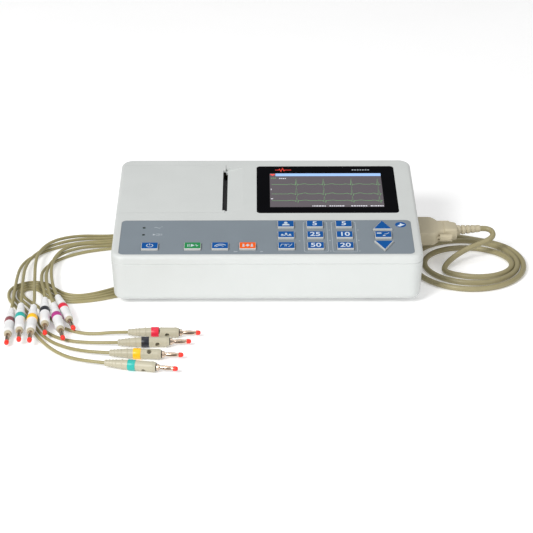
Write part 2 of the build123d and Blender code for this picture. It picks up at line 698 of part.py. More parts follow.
with BuildPart() as patient_plug:
    with BuildSketch(plug_plane(PLUG_FACE)):
        RectangleRounded(43, 13.4, 2)
    extrude(amount=HOOD_END - PLUG_FACE)
    fillet(patient_plug.edges().group_by(Axis.X)[-1], radius=1.2)
    with BuildSketch(plug_plane(HOOD_END - 0.5)):
        RectangleRounded(24, 12, 2)
    with BuildSketch(plug_plane(HOOD_TAIL)):
        RectangleRounded(16, 11, 3)
    loft()
    with BuildSketch(plug_plane(PLUG_FACE)):
        RectangleRounded(24.8, 7.8, 2)
    extrude(amount=-5.5)
    with BuildSketch(plug_plane(PLUG_FACE)):
        with Locations((-SCREW_SPACING / 2, 0), (SCREW_SPACING / 2, 0)):
            Circle(SCREW_RADIUS + SHAFT_CLEARANCE)
    extrude(amount=HOOD_END - PLUG_FACE, mode=Mode.SUBTRACT)
finish(patient_plug, "patient_plug")

for screw_name, screw_offset in (("front_thumbscrew", -1), ("rear_thumbscrew", 1)):
    with BuildPart() as thumbscrew:
        with BuildSketch(plug_plane(PLUG_FACE - 2.3)):
            with Locations((screw_offset * SCREW_SPACING / 2, 0)):
                Circle(SCREW_RADIUS)
        extrude(amount=KNOB_START - PLUG_FACE + 2.5)
        with BuildSketch(plug_plane(KNOB_START)):
            with Locations((screw_offset * SCREW_SPACING / 2, 0)):
                Circle(3.5)
                with PolarLocations(3.7, 14):
                    Circle(0.5, mode=Mode.SUBTRACT)
        extrude(amount=KNOB_END - KNOB_START)
        with BuildSketch(plug_plane(KNOB_END)):
            with Locations((screw_offset * SCREW_SPACING / 2, 0)):
                Rectangle(8, 0.9)
        extrude(amount=-1.4, mode=Mode.SUBTRACT)
    finish(thumbscrew, screw_name)

RELIEF_START = Vector(186, 14, 27)
RELIEF_DIRECTION = Vector(23, 4, 0).normalized()
RELIEF_LENGTH = 24.0
relief_plane = Plane(
    origin=RELIEF_START, x_dir=RELIEF_DIRECTION, z_dir=RELIEF_DIRECTION.cross(Vector(0, 0, 1))
)
with BuildPart() as cable_relief:
    with BuildSketch(relief_plane):
        with BuildLine():
            Polyline((-2, 0), (-2, -5), (1, -5), (RELIEF_LENGTH, -3.4), (RELIEF_LENGTH, 0), close=True)
        make_face()
        for groove in range(4):
            with Locations((4.5 + 5 * groove, -4.9 + 0.35 * groove)):
                Rectangle(1.6, 1.6, mode=Mode.SUBTRACT)
    revolve(axis=Axis(RELIEF_START, RELIEF_DIRECTION))
    with BuildSketch(Plane(origin=RELIEF_START + RELIEF_DIRECTION * RELIEF_LENGTH, z_dir=RELIEF_DIRECTION)):
        Circle(TRUNK_DIAMETER / 2 + SHAFT_CLEARANCE)
    extrude(amount=-10, mode=Mode.SUBTRACT)
finish(cable_relief, "cable_relief")


# ---------------------------------------------------------------- cords
def cord_radii(points):
    """The largest tangent arc that each corner's two runs allow."""
    corners = [Vector(*point) for point in points]
    radii = []
    for before, here, after in zip(corners, corners[1:], corners[2:]):
        turn = math.radians((here - before).get_angle(after - here))
        shorter = min((here - before).length, (after - here).length)
        radii.append(0.45 * shorter / math.tan(turn / 2))
    return radii


def lay_cord(name, points, diameter):
    """Makes one cord as a plain tube along straight runs joined by tangent arcs."""
    radii = cord_radii(points)
    with BuildPart() as cord:
        with BuildLine() as path:
            FilletPolyline(*points, radius=radii)
        route = path.wires()[0]
        with BuildSketch(Plane(origin=route @ 0, z_dir=route % 0)):
            Circle(diameter / 2)
        sweep(path=route)
    length = route.length
    expected = math.pi * diameter**2 / 4 * length
    print(
        name, "length", round(length), "volume ratio", round(cord.part.volume / expected, 4),
        "smallest radius", round(min(radii), 1), "radii", [round(radius) for radius in radii],
    )
    finish(cord, name)


TRUNK_LEAD_IN = [
    (199.8, 16.4, 27),
    (208.7, 17.9, 27),
    (217.2, 18.2, 26.8),
    (221.7, 14, 25.6),
    (222, 8, 23.4),
    (217, 4, 20.8),
    (208, 3, 17.2),
    (197, 0.5, 13.4),
    (187, -4.5, 9.8),
    (178, -12, 6.2),
    (172, -21.5, 3.4),
    (172, -32, 2.8),
]
TRUNK_RUN_OUT = [
    (200, 49.5, 2.8),
    (186, 53.5, 2.8),
    (173, 60.5, 2.8),
    (164.5, 73, 2.8),
    (158, 89, 2.8),
    (147, 106, 2.9),
    (132, 122, 3.6),
    (117, 131.8, 4.5),
    (104, 132, 4.5),
]
lay_cord("trunk_lead_in", TRUNK_LEAD_IN, TRUNK_DIAMETER)
lay_cord("trunk_run_out", TRUNK_RUN_OUT, TRUNK_DIAMETER)

with BuildPart() as trunk_coil:
    with BuildSketch(Plane.XY):
        with Locations(COIL_CENTRE):
            Ellipse(*COIL_OUTER)
        with Locations(COIL_INNER_CENTRE):
            Ellipse(*COIL_INNER, mode=Mode.SUBTRACT)
    extrude(amount=TRUNK_DIAMETER + 0.1)
    fillet(trunk_coil.edges(), radius=COIL_ROUNDING)
finish(trunk_coil, "trunk_coil")

# Ten lead wires, from inside the yoke to inside their plugs.  Limb leads first.
LEAD_ROUTES = {
    "wire_r": [
        (70, 112.2, 4.5), (48, 112.2, 4.5), (22, 111, 1.8), (-8, 101, 1.6), (-33, 72, 1.6),
        (-50, 34, 1.6), (-68, -4, 1.6), (-92, -38, 1.6), (-120, -67, 1.6), (-150, -86, 1.6),
        (-176, -93.5, 1.6), (-191, -92.5, 1.6), (-203, -86, 1.6), (-210.5, -77, 1.6),
        (-215, -68.5, 1.6), (-221, -64.3, 1.6), (-227.8, -65.2, 1.6), (-231.3, -71.2, 1.6),
        (-229, -82, 1.6), (-222.5, -91.5, 1.6), (-214.5, -101.5, 1.6), (-207, -113, 1.6),
        (-198.5, -130, 1.6), (-188, -146, 1.6), (-173.5, -156.5, 1.6), (-156.5, -161.5, 2.4),
        (-139, -162.7, 5), (-116, -163.23, 5),
    ],
    "wire_n": [
        (70, 116.6, 4.5), (48, 116.6, 4.5), (21, 115.8, 1.8), (-12, 106, 1.6), (-38, 76, 1.6),
        (-55, 37, 1.6), (-73, -1, 1.6), (-96, -34, 1.6), (-123, -62, 1.6), (-151, -80.5, 1.6),
        (-175, -88.5, 1.6), (-188, -88, 1.6), (-199.5, -82.3, 1.6), (-207.5, -72.8, 1.6),
        (-214, -62.6, 1.6), (-225.5, -57.8, 1.6), (-235.4, -67, 1.6), (-234.4, -82.5, 1.6),
        (-227, -94.5, 1.6), (-219.3, -106.5, 1.6), (-212, -124, 1.6), (-208, -143, 1.6),
        (-198, -160, 1.6), (-183, -172, 1.6), (-165, -178, 2.4), (-147, -183.89, 5),
        (-124, -183.2, 5),
    ],
    "wire_l": [
        (70, 121, 4.5), (48, 121, 4.5), (20, 120.6, 1.8), (-15, 111, 1.6), (-43, 80, 1.6),
        (-60, 40, 1.6), (-78, 2, 1.6), (-100, -30, 1.6), (-126, -57, 1.6), (-152, -75, 1.6),
        (-173, -83.5, 1.6), (-185.5, -83.5, 1.6), (-196, -78.4, 1.6), (-204, -69, 1.6),
        (-211.3, -57.9, 1.6), (-226, -52.8, 1.6), (-239.6, -64.6, 1.6), (-239, -83.5, 1.6),
        (-231.3, -97.5, 1.6), (-224, -110.5, 1.6), (-217, -126, 1.6), (-212, -145, 1.6),
        (-203, -164, 1.6), (-191, -179, 1.6), (-174, -191, 2.2), (-152.97, -202.62, 5),
        (-130.02, -204.18, 5),
    ],
    "wire_f": [
        (70, 125.4, 4.5), (48, 125.4, 4.5), (19, 125.2, 1.8), (-18, 116, 1.6), (-48, 84, 1.6),
        (-65, 43, 1.6), (-83, 5, 1.6), (-104, -26, 1.6), (-129, -52, 1.6), (-153, -69.5, 1.6),
        (-171, -78.5, 1.6), (-182.5, -79, 1.6), (-192.3, -74.5, 1.6), (-200.5, -65.3, 1.6),
        (-208.3, -53.2, 1.6), (-226.5, -47.6, 1.6), (-243.9, -62.1, 1.6), (-243.5, -84.5, 1.6),
        (-235.7, -100.5, 1.6), (-228.3, -114, 1.6), (-221.5, -124, 1.6), (-216.5, -143, 1.6),
        (-210, -160, 1.6), (-203, -174, 1.6), (-192, -191, 1.6), (-177, -206, 1.8),
        (-155.78, -220.14, 5), (-133.17, -224.32, 5),
    ],
    "wire_c1": [
        (70, 138.6, 4.5), (48, 138.6, 4.5), (14, 138.9, 1.8), (-30, 132, 1.6), (-71, 100, 1.6),
        (-95.5, 69, 1.6), (-124, 49.5, 1.6), (-157, 41.5, 1.6), (-184.5, 31.5, 5.2),
        (-200, 13, 8.4), (-207, -9, 8.5), (-207.5, -31, 8.5), (-205.5, -52, 8.5),
        (-202.6, -69, 8.8), (-199.63, -83.65, 8.89), (-192.5, -105.5, 8.02),
    ],
    "wire_c6": [
        (70, 134.2, 4.5), (48, 134.2, 4.5), (15, 134.3, 1.8), (-27, 127, 1.6), (-66, 96.5, 1.6),
        (-92, 64, 1.6), (-122, 44, 1.6), (-157, 34.5, 1.6), (-182.5, 25.8, 4.4), (-200.5, 11, 5),
        (-209.5, -10, 5.1), (-211.8, -33, 6.2), (-210, -58, 8.2), (-205.6, -83, 10.2),
        (-200.5, -103.35, 10.69), (-195.37, -125.73, 9.47),
    ],
    "wire_c5": [
        (70, 129.8, 4.5), (48, 129.8, 4.5), (16, 129.8, 1.8), (-24, 122, 1.6), (-61, 93, 1.6),
        (-88.5, 59, 1.6), (-120, 38.5, 1.6), (-156, 28, 1.6), (-179.5, 20.8, 1.6),
        (-198.5, 8, 1.6), (-211.5, -9, 1.6), (-216.5, -32, 4.4), (-214.5, -58, 8),
        (-211, -79, 10.8), (-207.74, -92.58, 11.29), (-205.54, -115.44, 10.07),
    ],
    "wire_c2": [
        (70, 151.8, 4.5), (48, 151.8, 4.5), (11, 152.5, 1.8), (-39, 147, 1.6), (-87, 112, 1.6),
        (-106, 84, 1.6), (-130, 65, 1.6), (-158, 58.5, 1.6), (-189, 51.5, 5.6),
        (-212.5, 32.5, 8.6), (-224, 4, 8.6), (-223.5, -27, 8.6), (-220.8, -56, 9),
        (-218.4, -83, 10.6), (-215.7, -107.52, 10.85), (-214.82, -130.48, 9.87),
    ],
    "wire_c3": [
        (70, 147.4, 4.5), (48, 147.4, 4.5), (12, 148, 1.8), (-36, 142, 1.6), (-81, 108, 1.6),
        (-102.5, 79, 1.6), (-128, 59.5, 1.6), (-158, 53, 1.6), (-189, 46.5, 4.2), (-214, 29, 5),
        (-229, 4, 5), (-233.5, -22, 5.6), (-232.5, -50, 7.2), (-230.2, -80, 9.8),
        (-228.11, -104.06, 11.08), (-226.5, -126.96, 9.7),
    ],
    "wire_c4": [
        (70, 143, 4.5), (48, 143, 4.5), (13, 143.5, 1.8), (-33, 137, 1.6), (-76, 104, 1.6),
        (-99, 74, 1.6), (-126, 54.5, 1.6), (-157, 47.5, 1.6), (-188.5, 42, 1.6),
        (-214, 27.5, 1.6), (-232.5, 6, 1.6), (-238.5, -17, 3.2), (-238.8, -45, 5.8),
        (-237.6, -78, 6.6), (-236.61, -106.01, 6.3), (-235.71, -128.99, 5.77),
    ],
}
for wire_name, route in LEAD_ROUTES.items():
    lay_cord(wire_name, route, LEAD_DIAMETER)

# Where each plug lies: the tail that its wire enters, and the tip of its pin cap
CHEST_PLUGS = [
    ((-195.6, -96, 8.4), (-174.4, -161, 5.8)),
    ((-215.2, -120.5, 10.3), (-212.6, -188.5, 7.4)),
    ((-227.2, -117, 10.3), (-222.4, -185, 6.2)),
    ((-236.1, -119, 6), (-233.5, -185, 4.5)),
    ((-206.5, -105.5, 10.6), (-200, -173, 7)),
    ((-197.6, -116, 10), (-182.5, -182, 6.4)),
]
LIMB_PLUGS = [
    ((-126, -163, 5), (-60, -164.5, 5)),
    ((-134, -183.5, 5), (-68, -181.5, 5)),
    ((-140, -203.5, 5), (-74, -208, 5)),
    ((-143, -222.5, 5), (-78, -234.5, 5)),
]


def plug_axis(plug):
    """Start and direction of a lead plug's axis."""
    tail, tip = Vector(*plug[0]), Vector(*plug[1])
    return tail, (tip - tail).normalized()


def turned(plug, outline):
    """One solid turned about a plug's axis, from (distance, radius) points."""
    tail, direction = plug_axis(plug)
    across = direction.cross(Vector(0, 0, 1))
    with BuildPart() as solid:
        with BuildSketch(Plane(origin=tail, x_dir=direction, z_dir=across)):
            Polygon(*outline, align=None)
        revolve(axis=Axis(tail, direction))
    return solid.part


BORE = LEAD_DIAMETER / 2 + SHAFT_CLEARANCE
BORE_DEPTH = 11.0
CROSS_SOCKET_PLACE = 35.5
CROSS_SOCKET_RADIUS = 2.1
CROSS_SOCKET_LEANS = (100, 100, 35, -50)
PIN_START = 39.0
HOUSING_OUTLINE = [
    (0, BORE), (0, 2.6), (15, 4.0), (21, 4.4), (21, 4.7), (28, 4.7), (28, 4.55), (PLUG_BODY - 2, 4.55),
    (PLUG_BODY, 4.0), (PLUG_BODY, PIN_RADIUS), (PIN_START, PIN_RADIUS), (PIN_START, 0),
    (BORE_DEPTH, 0), (BORE_DEPTH, BORE),
]
PIN_OUTLINE = [
    (PIN_START, 0), (PIN_START, PIN_RADIUS), (PLUG_BODY, PIN_RADIUS), (PLUG_BODY, 3.1),
    (PLUG_BODY + 2.8, 3.1), (PLUG_BODY + 2.8, PIN_RADIUS), (PIN_END, PIN_RADIUS), (PIN_END, 0),
]
CAP_OUTLINE = [
    (PIN_END, 0), (PIN_END, CAP_RADIUS), (PIN_END + 2.2, CAP_RADIUS), (PIN_END + 3.1, 1.9),
    (PIN_END + 3.8, 1.35), (PIN_END + 4.1, 0.6), (PIN_END + 4.1, 0),
]

chest_housings = [turned(plug, HOUSING_OUTLINE) for plug in CHEST_PLUGS]
with BuildPart() as chest_plugs:
    add(chest_housings)
finish(chest_plugs, "chest_plugs")

# Limb plugs have a cross socket right through them, for a second plug to stack into
limb_housings = [turned(plug, HOUSING_OUTLINE) for plug in LIMB_PLUGS]
with BuildPart() as limb_plugs:
    add(limb_housings)
    for plug, lean in zip(LIMB_PLUGS, CROSS_SOCKET_LEANS):
        tail, direction = plug_axis(plug)
        upright = direction.cross(Vector(0, 0, 1)).cross(direction)
        outwards = upright.rotate(Axis(tail, direction), lean)
        with BuildSketch(Plane(origin=tail + direction * CROSS_SOCKET_PLACE, z_dir=outwards)):
            Circle(CROSS_SOCKET_RADIUS)
        extrude(amount=PLUG_LENGTH, both=True, mode=Mode.SUBTRACT)
finish(limb_plugs, "limb_plugs")

turned_pins = [turned(plug, PIN_OUTLINE) for plug in CHEST_PLUGS + LIMB_PLUGS]
with BuildPart() as plug_pins:
    add(turned_pins)
finish(plug_pins, "plug_pins")

turned_caps = [turned(plug, CAP_OUTLINE) for plug in CHEST_PLUGS + LIMB_PLUGS]
with BuildPart() as pin_caps:
    add(turned_caps)
finish(pin_caps, "pin_caps")

with BuildPart() as lead_yoke:
    with BuildSketch(Plane.XY.offset(0.2)):
        with BuildLine():
            Polyline(
                (YOKE_LEAD_FACE, YOKE_Y - 24),
                (YOKE_LEAD_FACE + 26, YOKE_Y - 24),
                (YOKE_TRUNK_FACE, YOKE_Y - 8),
                (YOKE_TRUNK_FACE, YOKE_Y + 8),
                (YOKE_LEAD_FACE + 26, YOKE_Y + 24),
                (YOKE_LEAD_FACE, YOKE_Y + 24),
                close=True,
            )
        make_face()
    extrude(amount=YOKE_THICKNESS - 0.4)
    fillet(lead_yoke.edges().filter_by(Axis.Z), radius=4)
    fillet(lead_yoke.edges().group_by(Axis.Z)[-1], radius=1.5)
    yoke_middle = YOKE_THICKNESS / 2
    lead_face = Plane(
        origin=(YOKE_LEAD_FACE - 1, YOKE_Y, yoke_middle), x_dir=(0, 1, 0), z_dir=(1, 0, 0)
    )
    trunk_face = Plane(
        origin=(YOKE_TRUNK_FACE + 1, YOKE_Y, yoke_middle), x_dir=(0, 1, 0), z_dir=(-1, 0, 0)
    )
    with BuildSketch(lead_face):
        with GridLocations(LEAD_PITCH, 1, 10, 1):
            Circle(BORE)
    extrude(amount=10, mode=Mode.SUBTRACT)
    with BuildSketch(trunk_face):
        Circle(TRUNK_DIAMETER / 2 + SHAFT_CLEARANCE)
    extrude(amount=10, mode=Mode.SUBTRACT)
finish(lead_yoke, "lead_yoke")
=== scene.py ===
"""Looks of the ECG machine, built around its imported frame.

Lengths in the tables are millimetres; everything placed in Blender is in metres.  The
device stands on its feet with its front towards -Y.  TOP maps local x across, y up the
sloping top from the front edge and z out of the surface into the row frame.
"""
import math
import random

import bmesh
import bpy
from mathutils import Matrix, Vector


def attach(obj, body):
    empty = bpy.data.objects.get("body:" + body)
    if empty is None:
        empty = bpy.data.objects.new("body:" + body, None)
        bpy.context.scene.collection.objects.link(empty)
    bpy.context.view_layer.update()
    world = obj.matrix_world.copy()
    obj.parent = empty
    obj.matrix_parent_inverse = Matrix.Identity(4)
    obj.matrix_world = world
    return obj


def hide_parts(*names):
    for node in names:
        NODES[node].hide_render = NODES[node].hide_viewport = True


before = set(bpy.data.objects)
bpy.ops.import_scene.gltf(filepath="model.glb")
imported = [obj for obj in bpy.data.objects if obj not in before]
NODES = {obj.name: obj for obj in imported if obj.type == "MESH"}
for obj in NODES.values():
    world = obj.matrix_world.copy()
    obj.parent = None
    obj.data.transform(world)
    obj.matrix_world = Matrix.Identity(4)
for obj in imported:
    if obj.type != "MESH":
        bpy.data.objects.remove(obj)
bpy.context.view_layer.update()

MM = 0.001
SLOPE = math.atan2(17, 200)
TOP = Matrix.Translation((0, -0.1, 0.051)) @ Matrix.Rotation(SLOPE, 4, "X")
random.seed(4)

# ---------------------------------------------------------------- camera
CAMERA_PLACE = (-0.0104, -1.7458, 0.80095)
CAMERA_DOWN, CAMERA_TURN = 24.789, -0.339  # degrees below level, and about Z
FOCAL_LENGTH, SENSOR_WIDTH = 132.4, 36
camera_data = bpy.data.cameras.new("camera")
camera_data.lens = FOCAL_LENGTH
camera_data.sensor_width = SENSOR_WIDTH
camera_data.clip_end = 50
camera = bpy.data.objects.new("camera", camera_data)
camera.location = CAMERA_PLACE
camera.rotation_euler = (math.radians(90 - CAMERA_DOWN), 0, math.radians(CAMERA_TURN))
bpy.context.scene.collection.objects.link(camera)
bpy.context.scene.camera = camera


# ---------------------------------------------------------------- materials
MOTTLE_RANGE = (0.3, 0.7)  # the part of the noise that the colour and the gloss follow
GLOSS_SPREAD = 0.06
GRAIN_DEPTH = 0.0002


def srgb(red, green, blue):
    """Linear colour of 8-bit screen values."""
    return tuple(
        c / 12.92 if c <= 0.04045 else ((c + 0.055) / 1.055) ** 2.4
        for c in (red / 255, green / 255, blue / 255)
    ) + (1.0,)


def shade(colour, factor):
    """The same colour, lighter or darker."""
    return tuple(min(1.0, c * factor) for c in colour[:3]) + (1.0,)


def finish_of(name, colour, rough, *, vary=0.05, patch=40, grain=1500, bump=0.05, **shader):
    """A plastic, rubber, metal or film: mottled colour and gloss, and a fine surface grain.

    patch and grain are noise scales per metre; vary is how far the colour wanders.
    """
    material = bpy.data.materials.new(name)
    material.use_nodes = True
    nodes, links = material.node_tree.nodes, material.node_tree.links
    surface = nodes["Principled BSDF"]
    where = nodes.new("ShaderNodeTexCoord")
    mottle = nodes.new("ShaderNodeTexNoise")
    mottle.inputs["Scale"].default_value = patch
    mottle.inputs["Detail"].default_value = 4
    links.new(where.outputs["Object"], mottle.inputs["Vector"])
    ramp = nodes.new("ShaderNodeValToRGB")
    shades = (shade(colour, 1 - vary), shade(colour, 1 + vary))
    for stop, position, tone in zip(ramp.color_ramp.elements, MOTTLE_RANGE, shades):
        stop.position = position
        stop.color = tone
    links.new(mottle.outputs["Fac"], ramp.inputs["Fac"])
    links.new(ramp.outputs["Color"], surface.inputs["Base Color"])
    gloss = nodes.new("ShaderNodeMapRange")
    gloss.inputs["From Min"].default_value, gloss.inputs["From Max"].default_value = MOTTLE_RANGE
    gloss.inputs["To Min"].default_value = rough - GLOSS_SPREAD
    gloss.inputs["To Max"].default_value = rough + GLOSS_SPREAD
    links.new(mottle.outputs["Fac"], gloss.inputs["Value"])
    links.new(gloss.outputs["Result"], surface.inputs["Roughness"])
    fine = nodes.new("ShaderNodeTexNoise")
    fine.inputs["Scale"].default_value = grain
    fine.inputs["Detail"].default_value = 3
    links.new(where.outputs["Object"], fine.inputs["Vector"])
    relief = nodes.new("ShaderNodeBump")
    relief.inputs["Strength"].default_value = bump
    relief.inputs["Distance"].default_value = GRAIN_DEPTH
    links.new(fine.outputs["Fac"], relief.inputs["Height"])
    links.new(relief.outputs["Normal"], surface.inputs["Normal"])
    for socket, value in shader.items():
        surface.inputs[socket.replace("_", " ")].default_value = value
    return material


CASE = finish_of("case_plastic", srgb(200, 203, 201), 0.42, vary=0.012, bump=0.10, grain=2200)
PANEL = finish_of("panel_film", srgb(120, 130, 138), 0.45, vary=0.02, bump=0.06, grain=3000)
BEZEL = finish_of("bezel_gloss", srgb(4, 4, 7), 0.24, vary=0.2, bump=0.01, grain=300,
                  Specular_IOR_Level=0.015)
SCREEN = finish_of("screen_glass", srgb(60, 56, 60), 0.3, vary=0.03, bump=0.0, grain=500,
                   Specular_IOR_Level=0.3, Emission_Color=srgb(112, 104, 110),
                   Emission_Strength=0.45)
STEEL = finish_of("steel", srgb(180, 180, 178), 0.3, vary=0.06, bump=0.08, Metallic=1.0)
TRAY = finish_of("tray_plastic", srgb(60, 62, 64), 0.5)
PAPER = finish_of("thermal_paper", srgb(238, 236, 230), 0.8, vary=0.02, grain=3000, bump=0.15)
RUBBER = finish_of("platen_rubber", srgb(12, 12, 12), 0.75, vary=0.15, grain=2500, bump=0.2)
GEAR = finish_of("gear_nylon", srgb(225, 222, 210), 0.45)
BRASS = finish_of("brass", srgb(190, 155, 85), 0.3, vary=0.08, Metallic=1.0)
BOARD = finish_of("circuit_board", srgb(22, 90, 55), 0.4, vary=0.25, patch=160, grain=900,
                  bump=0.2)
WRAP = finish_of("battery_wrap", srgb(40, 95, 150), 0.35, vary=0.06)
BLACK = finish_of("black_plastic", srgb(12, 12, 13), 0.45, vary=0.15, bump=0.12)
FOOT = finish_of("foot_rubber", srgb(35, 35, 36), 0.85, vary=0.15, grain=2500, bump=0.25)
PLUG_GREY = finish_of("cable_plastic", srgb(186, 176, 150), 0.5, vary=0.03, bump=0.12)
# Partly painted shade: the jackets' own colour is a beige, darkened here to stand in for the shade
# on the cables' undersides and between the coil's turns, which the lights leave too bright.
JACKET = finish_of("cable_jacket", srgb(145, 136, 101), 0.42, vary=0.05, patch=120, bump=0.1)
LEAD_JACKET = finish_of("lead_jacket", srgb(152, 143, 101), 0.42, vary=0.05, patch=120, bump=0.1)
WHITE = finish_of("plug_white", srgb(226, 226, 226), 0.4, vary=0.012, bump=0.06)
BEIGE = finish_of("plug_beige", srgb(180, 174, 152), 0.42, vary=0.025, bump=0.08)
PIN = finish_of("pin_metal", srgb(205, 185, 165), 0.22, vary=0.08, bump=0.04, Metallic=1.0)
CAP = finish_of("cap_red", srgb(238, 48, 32), 0.35, vary=0.05, bump=0.04)
KEY = finish_of("key_plastic", srgb(188, 190, 188), 0.45, vary=0.02, bump=0.08)
BLUE = finish_of("label_blue", srgb(0, 78, 147), 0.4, vary=0.05, bump=0.04,
                 Specular_IOR_Level=0.1)
GREEN = finish_of("label_green", srgb(0, 128, 66), 0.4, vary=0.05, bump=0.04)
ORANGE = finish_of("label_orange", srgb(234, 92, 0), 0.4, vary=0.04, bump=0.04,
                   Specular_IOR_Level=0.2)
PRINT = finish_of("print_white", srgb(206, 216, 226), 0.5, vary=0.02, bump=0.02)
ICON_PRINT = finish_of("print_soft", srgb(192, 204, 212), 0.5, vary=0.02, bump=0.02)
FAINT = finish_of("print_grey", srgb(176, 184, 190), 0.5, vary=0.03, bump=0.02)
LIGHT = finish_of("unlit_lamp", srgb(30, 34, 36), 0.2, vary=0.1, bump=0.0)
GLOW = {"Specular_IOR_Level": 0.3, "Emission_Strength": 0.8}
BAR = finish_of("screen_bar", srgb(120, 150, 190), 0.3, vary=0.03,
                Emission_Color=srgb(140, 170, 215), **GLOW)
TRACE = finish_of("screen_trace", srgb(80, 130, 80), 0.3, vary=0.1,
                  Emission_Color=srgb(118, 168, 112), **GLOW)
MARKS = finish_of("screen_marks", srgb(190, 190, 196), 0.3, vary=0.03,
                  Emission_Color=srgb(190, 190, 198), **GLOW)
ALERT = finish_of("screen_red", srgb(200, 60, 60), 0.3, vary=0.05,
                  Emission_Color=srgb(220, 70, 60), **GLOW)
EMBLEM = finish_of("emblem_red", srgb(225, 48, 28), 0.35, vary=0.05, bump=0.02)
BANDS = {
    name: finish_of(f"band_{name}", srgb(*colour), 0.38, vary=0.04, bump=0.04)
    for name, colour in {
        "red": (222, 32, 62), "yellow": (248, 190, 20), "teal": (30, 170, 160),
        "brown": (140, 72, 78), "black": (30, 32, 42), "magenta": (176, 40, 130),
    }.items()
}

CAD_LOOKS = {
    CASE: ["lower_case", "upper_case", "printer_door", "battery_cover"],
    PANEL: ["keypad_panel"],
    BEZEL: ["display_bezel"],
    SCREEN: ["lcd_panel"],
    STEEL: ["case_screws"],
    TRAY: ["paper_tray"],
    PAPER: ["paper_roll"],
    RUBBER: ["platen_roller"],
    GEAR: ["platen_gear"],
    BRASS: ["motor_pinion"],
    BOARD: ["main_board", "keypad_board", "power_supply"],
    WRAP: ["battery_pack"],
    BLACK: ["print_head", "stepper_motor", "mains_inlet", "patient_socket"],
    FOOT: ["rubber_feet"],
    PLUG_GREY: [
        "patient_plug", "cable_relief", "lead_yoke", "front_thumbscrew", "rear_thumbscrew",
    ],
    JACKET: ["trunk_lead_in", "trunk_coil", "trunk_run_out"],
    WHITE: ["chest_plugs"],
    BEIGE: ["limb_plugs"],
    PIN: ["plug_pins"],
    CAP: ["pin_caps"],
    KEY: [name for name in NODES if name.endswith("_key")],
    LEAD_JACKET: [name for name in NODES if name.startswith("wire_")],
}
for look, names in CAD_LOOKS.items():
    for name in names:
        for slot in NODES[name].material_slots:
            slot.material = look


# ---------------------------------------------------------------- piece helpers
CREASE_ANGLE = math.radians(35)
MITRE_LIMIT = 0.35  # least cosine that a mitred corner of a line is drawn out for


def add_piece(name, data, body, look):
    """Puts a mesh or curve in the scene as one piece of the object."""
    made = bpy.data.objects.new(name, data)
    bpy.context.scene.collection.objects.link(made)
    data.materials.append(look)
    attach(made, body)
    return made


def add_mesh(name, shape, body, look, smooth=False):
    """Turns a finished bmesh into a piece."""
    bmesh.ops.recalc_face_normals(shape, faces=shape.faces)
    mesh = bpy.data.meshes.new(name)
    shape.to_mesh(mesh)
    shape.free()
    if smooth:
        mesh.shade_smooth()
    made = add_piece(name, mesh, body, look)
    if smooth:
        creases = made.modifiers.new("creases", "EDGE_SPLIT")
        creases.split_angle = CREASE_ANGLE
    return made


def prism(shape, outline, low, high, matrix=TOP):
    """Adds one closed plate with the given outline (mm) between two heights."""
    rings = [
        [shape.verts.new(matrix @ (Vector((x, y, z)) * MM)) for x, y in outline]
        for z in (low, high)
    ]
    count = len(outline)
    shape.faces.new(rings[0][::-1])
    shape.faces.new(rings[1])
    for i in range(count):
        j = (i + 1) % count
        shape.faces.new((rings[0][i], rings[0][j], rings[1][j], rings[1][i]))


def hoop(shape, outer, inner, low, high, matrix=TOP):
    """Adds one closed flat ring between two outlines with the same number of points."""
    loops = [
        [shape.verts.new(matrix @ (Vector((x, y, z)) * MM)) for x, y in outline]
        for outline, z in ((outer, low), (outer, high), (inner, high), (inner, low))
    ]
    count = len(outer)
    for near, far in zip(loops, loops[1:] + loops[:1]):
        for i in range(count):
            j = (i + 1) % count
            shape.faces.new((near[i], near[j], far[j], far[i]))


def block(x, y, width, height):
    """Outline of a rectangle about its centre."""
    a, b = width / 2, height / 2
    return [(x - a, y - b), (x + a, y - b), (x + a, y + b), (x - a, y + b)]


def disc(x, y, radius, count=28):
    """Outline of a circle."""
    turns = [2 * math.pi / count * i for i in range(count)]
    return [(x + radius * math.cos(turn), y + radius * math.sin(turn)) for turn in turns]


def rounded(x, y, width, height, radius, steps=6):
    """Outline of a rectangle with round corners."""
    points = []
    for quarter, (sx, sy) in enumerate(((1, 1), (-1, 1), (-1, -1), (1, -1))):
        cx, cy = x + sx * (width / 2 - radius), y + sy * (height / 2 - radius)
        for i in range(steps + 1):
            angle = math.pi / 2 * (quarter + i / steps)
            points.append((cx + radius * math.cos(angle), cy + radius * math.sin(angle)))
    return points


def stroke(points, width):
    """Outline of a line of even width through the points, with mitred corners."""
    path = [Vector(point) for point in points]
    left, right = [], []
    for i, here in enumerate(path):
        before = (here - path[i - 1]).normalized() if i else None
        after = (path[i + 1] - here).normalized() if i + 1 < len(path) else None
        along = ((before or after) + (after or before)).normalized()
        side = Vector((-along.y, along.x))
        reach = width / 2 / max(MITRE_LIMIT, abs(along.dot(after or before)))
        left.append(tuple(here + side * reach))
        right.append(tuple(here - side * reach))
    return left + right[::-1]


def arc(x, y, radius, start, end, width, steps=20):
    """Outline of a curved line, angles in degrees."""
    turns = [math.radians(start + (end - start) * i / steps) for i in range(steps + 1)]
    return stroke([(x + radius * math.cos(t), y + radius * math.sin(t)) for t in turns], width)


def moved(outline, x, y):
    """The outline shifted to a place on the top."""
    return [(px + x, py + y) for px, py in outline]


def printed(name, outlines, place, low, high, body, look):
    """One piece made of thin plates at a place on the sloping top."""
    shape = bmesh.new()
    for outline in outlines:
        prism(shape, moved(outline, *place), low, high)
    return add_mesh(name, shape, body, look)


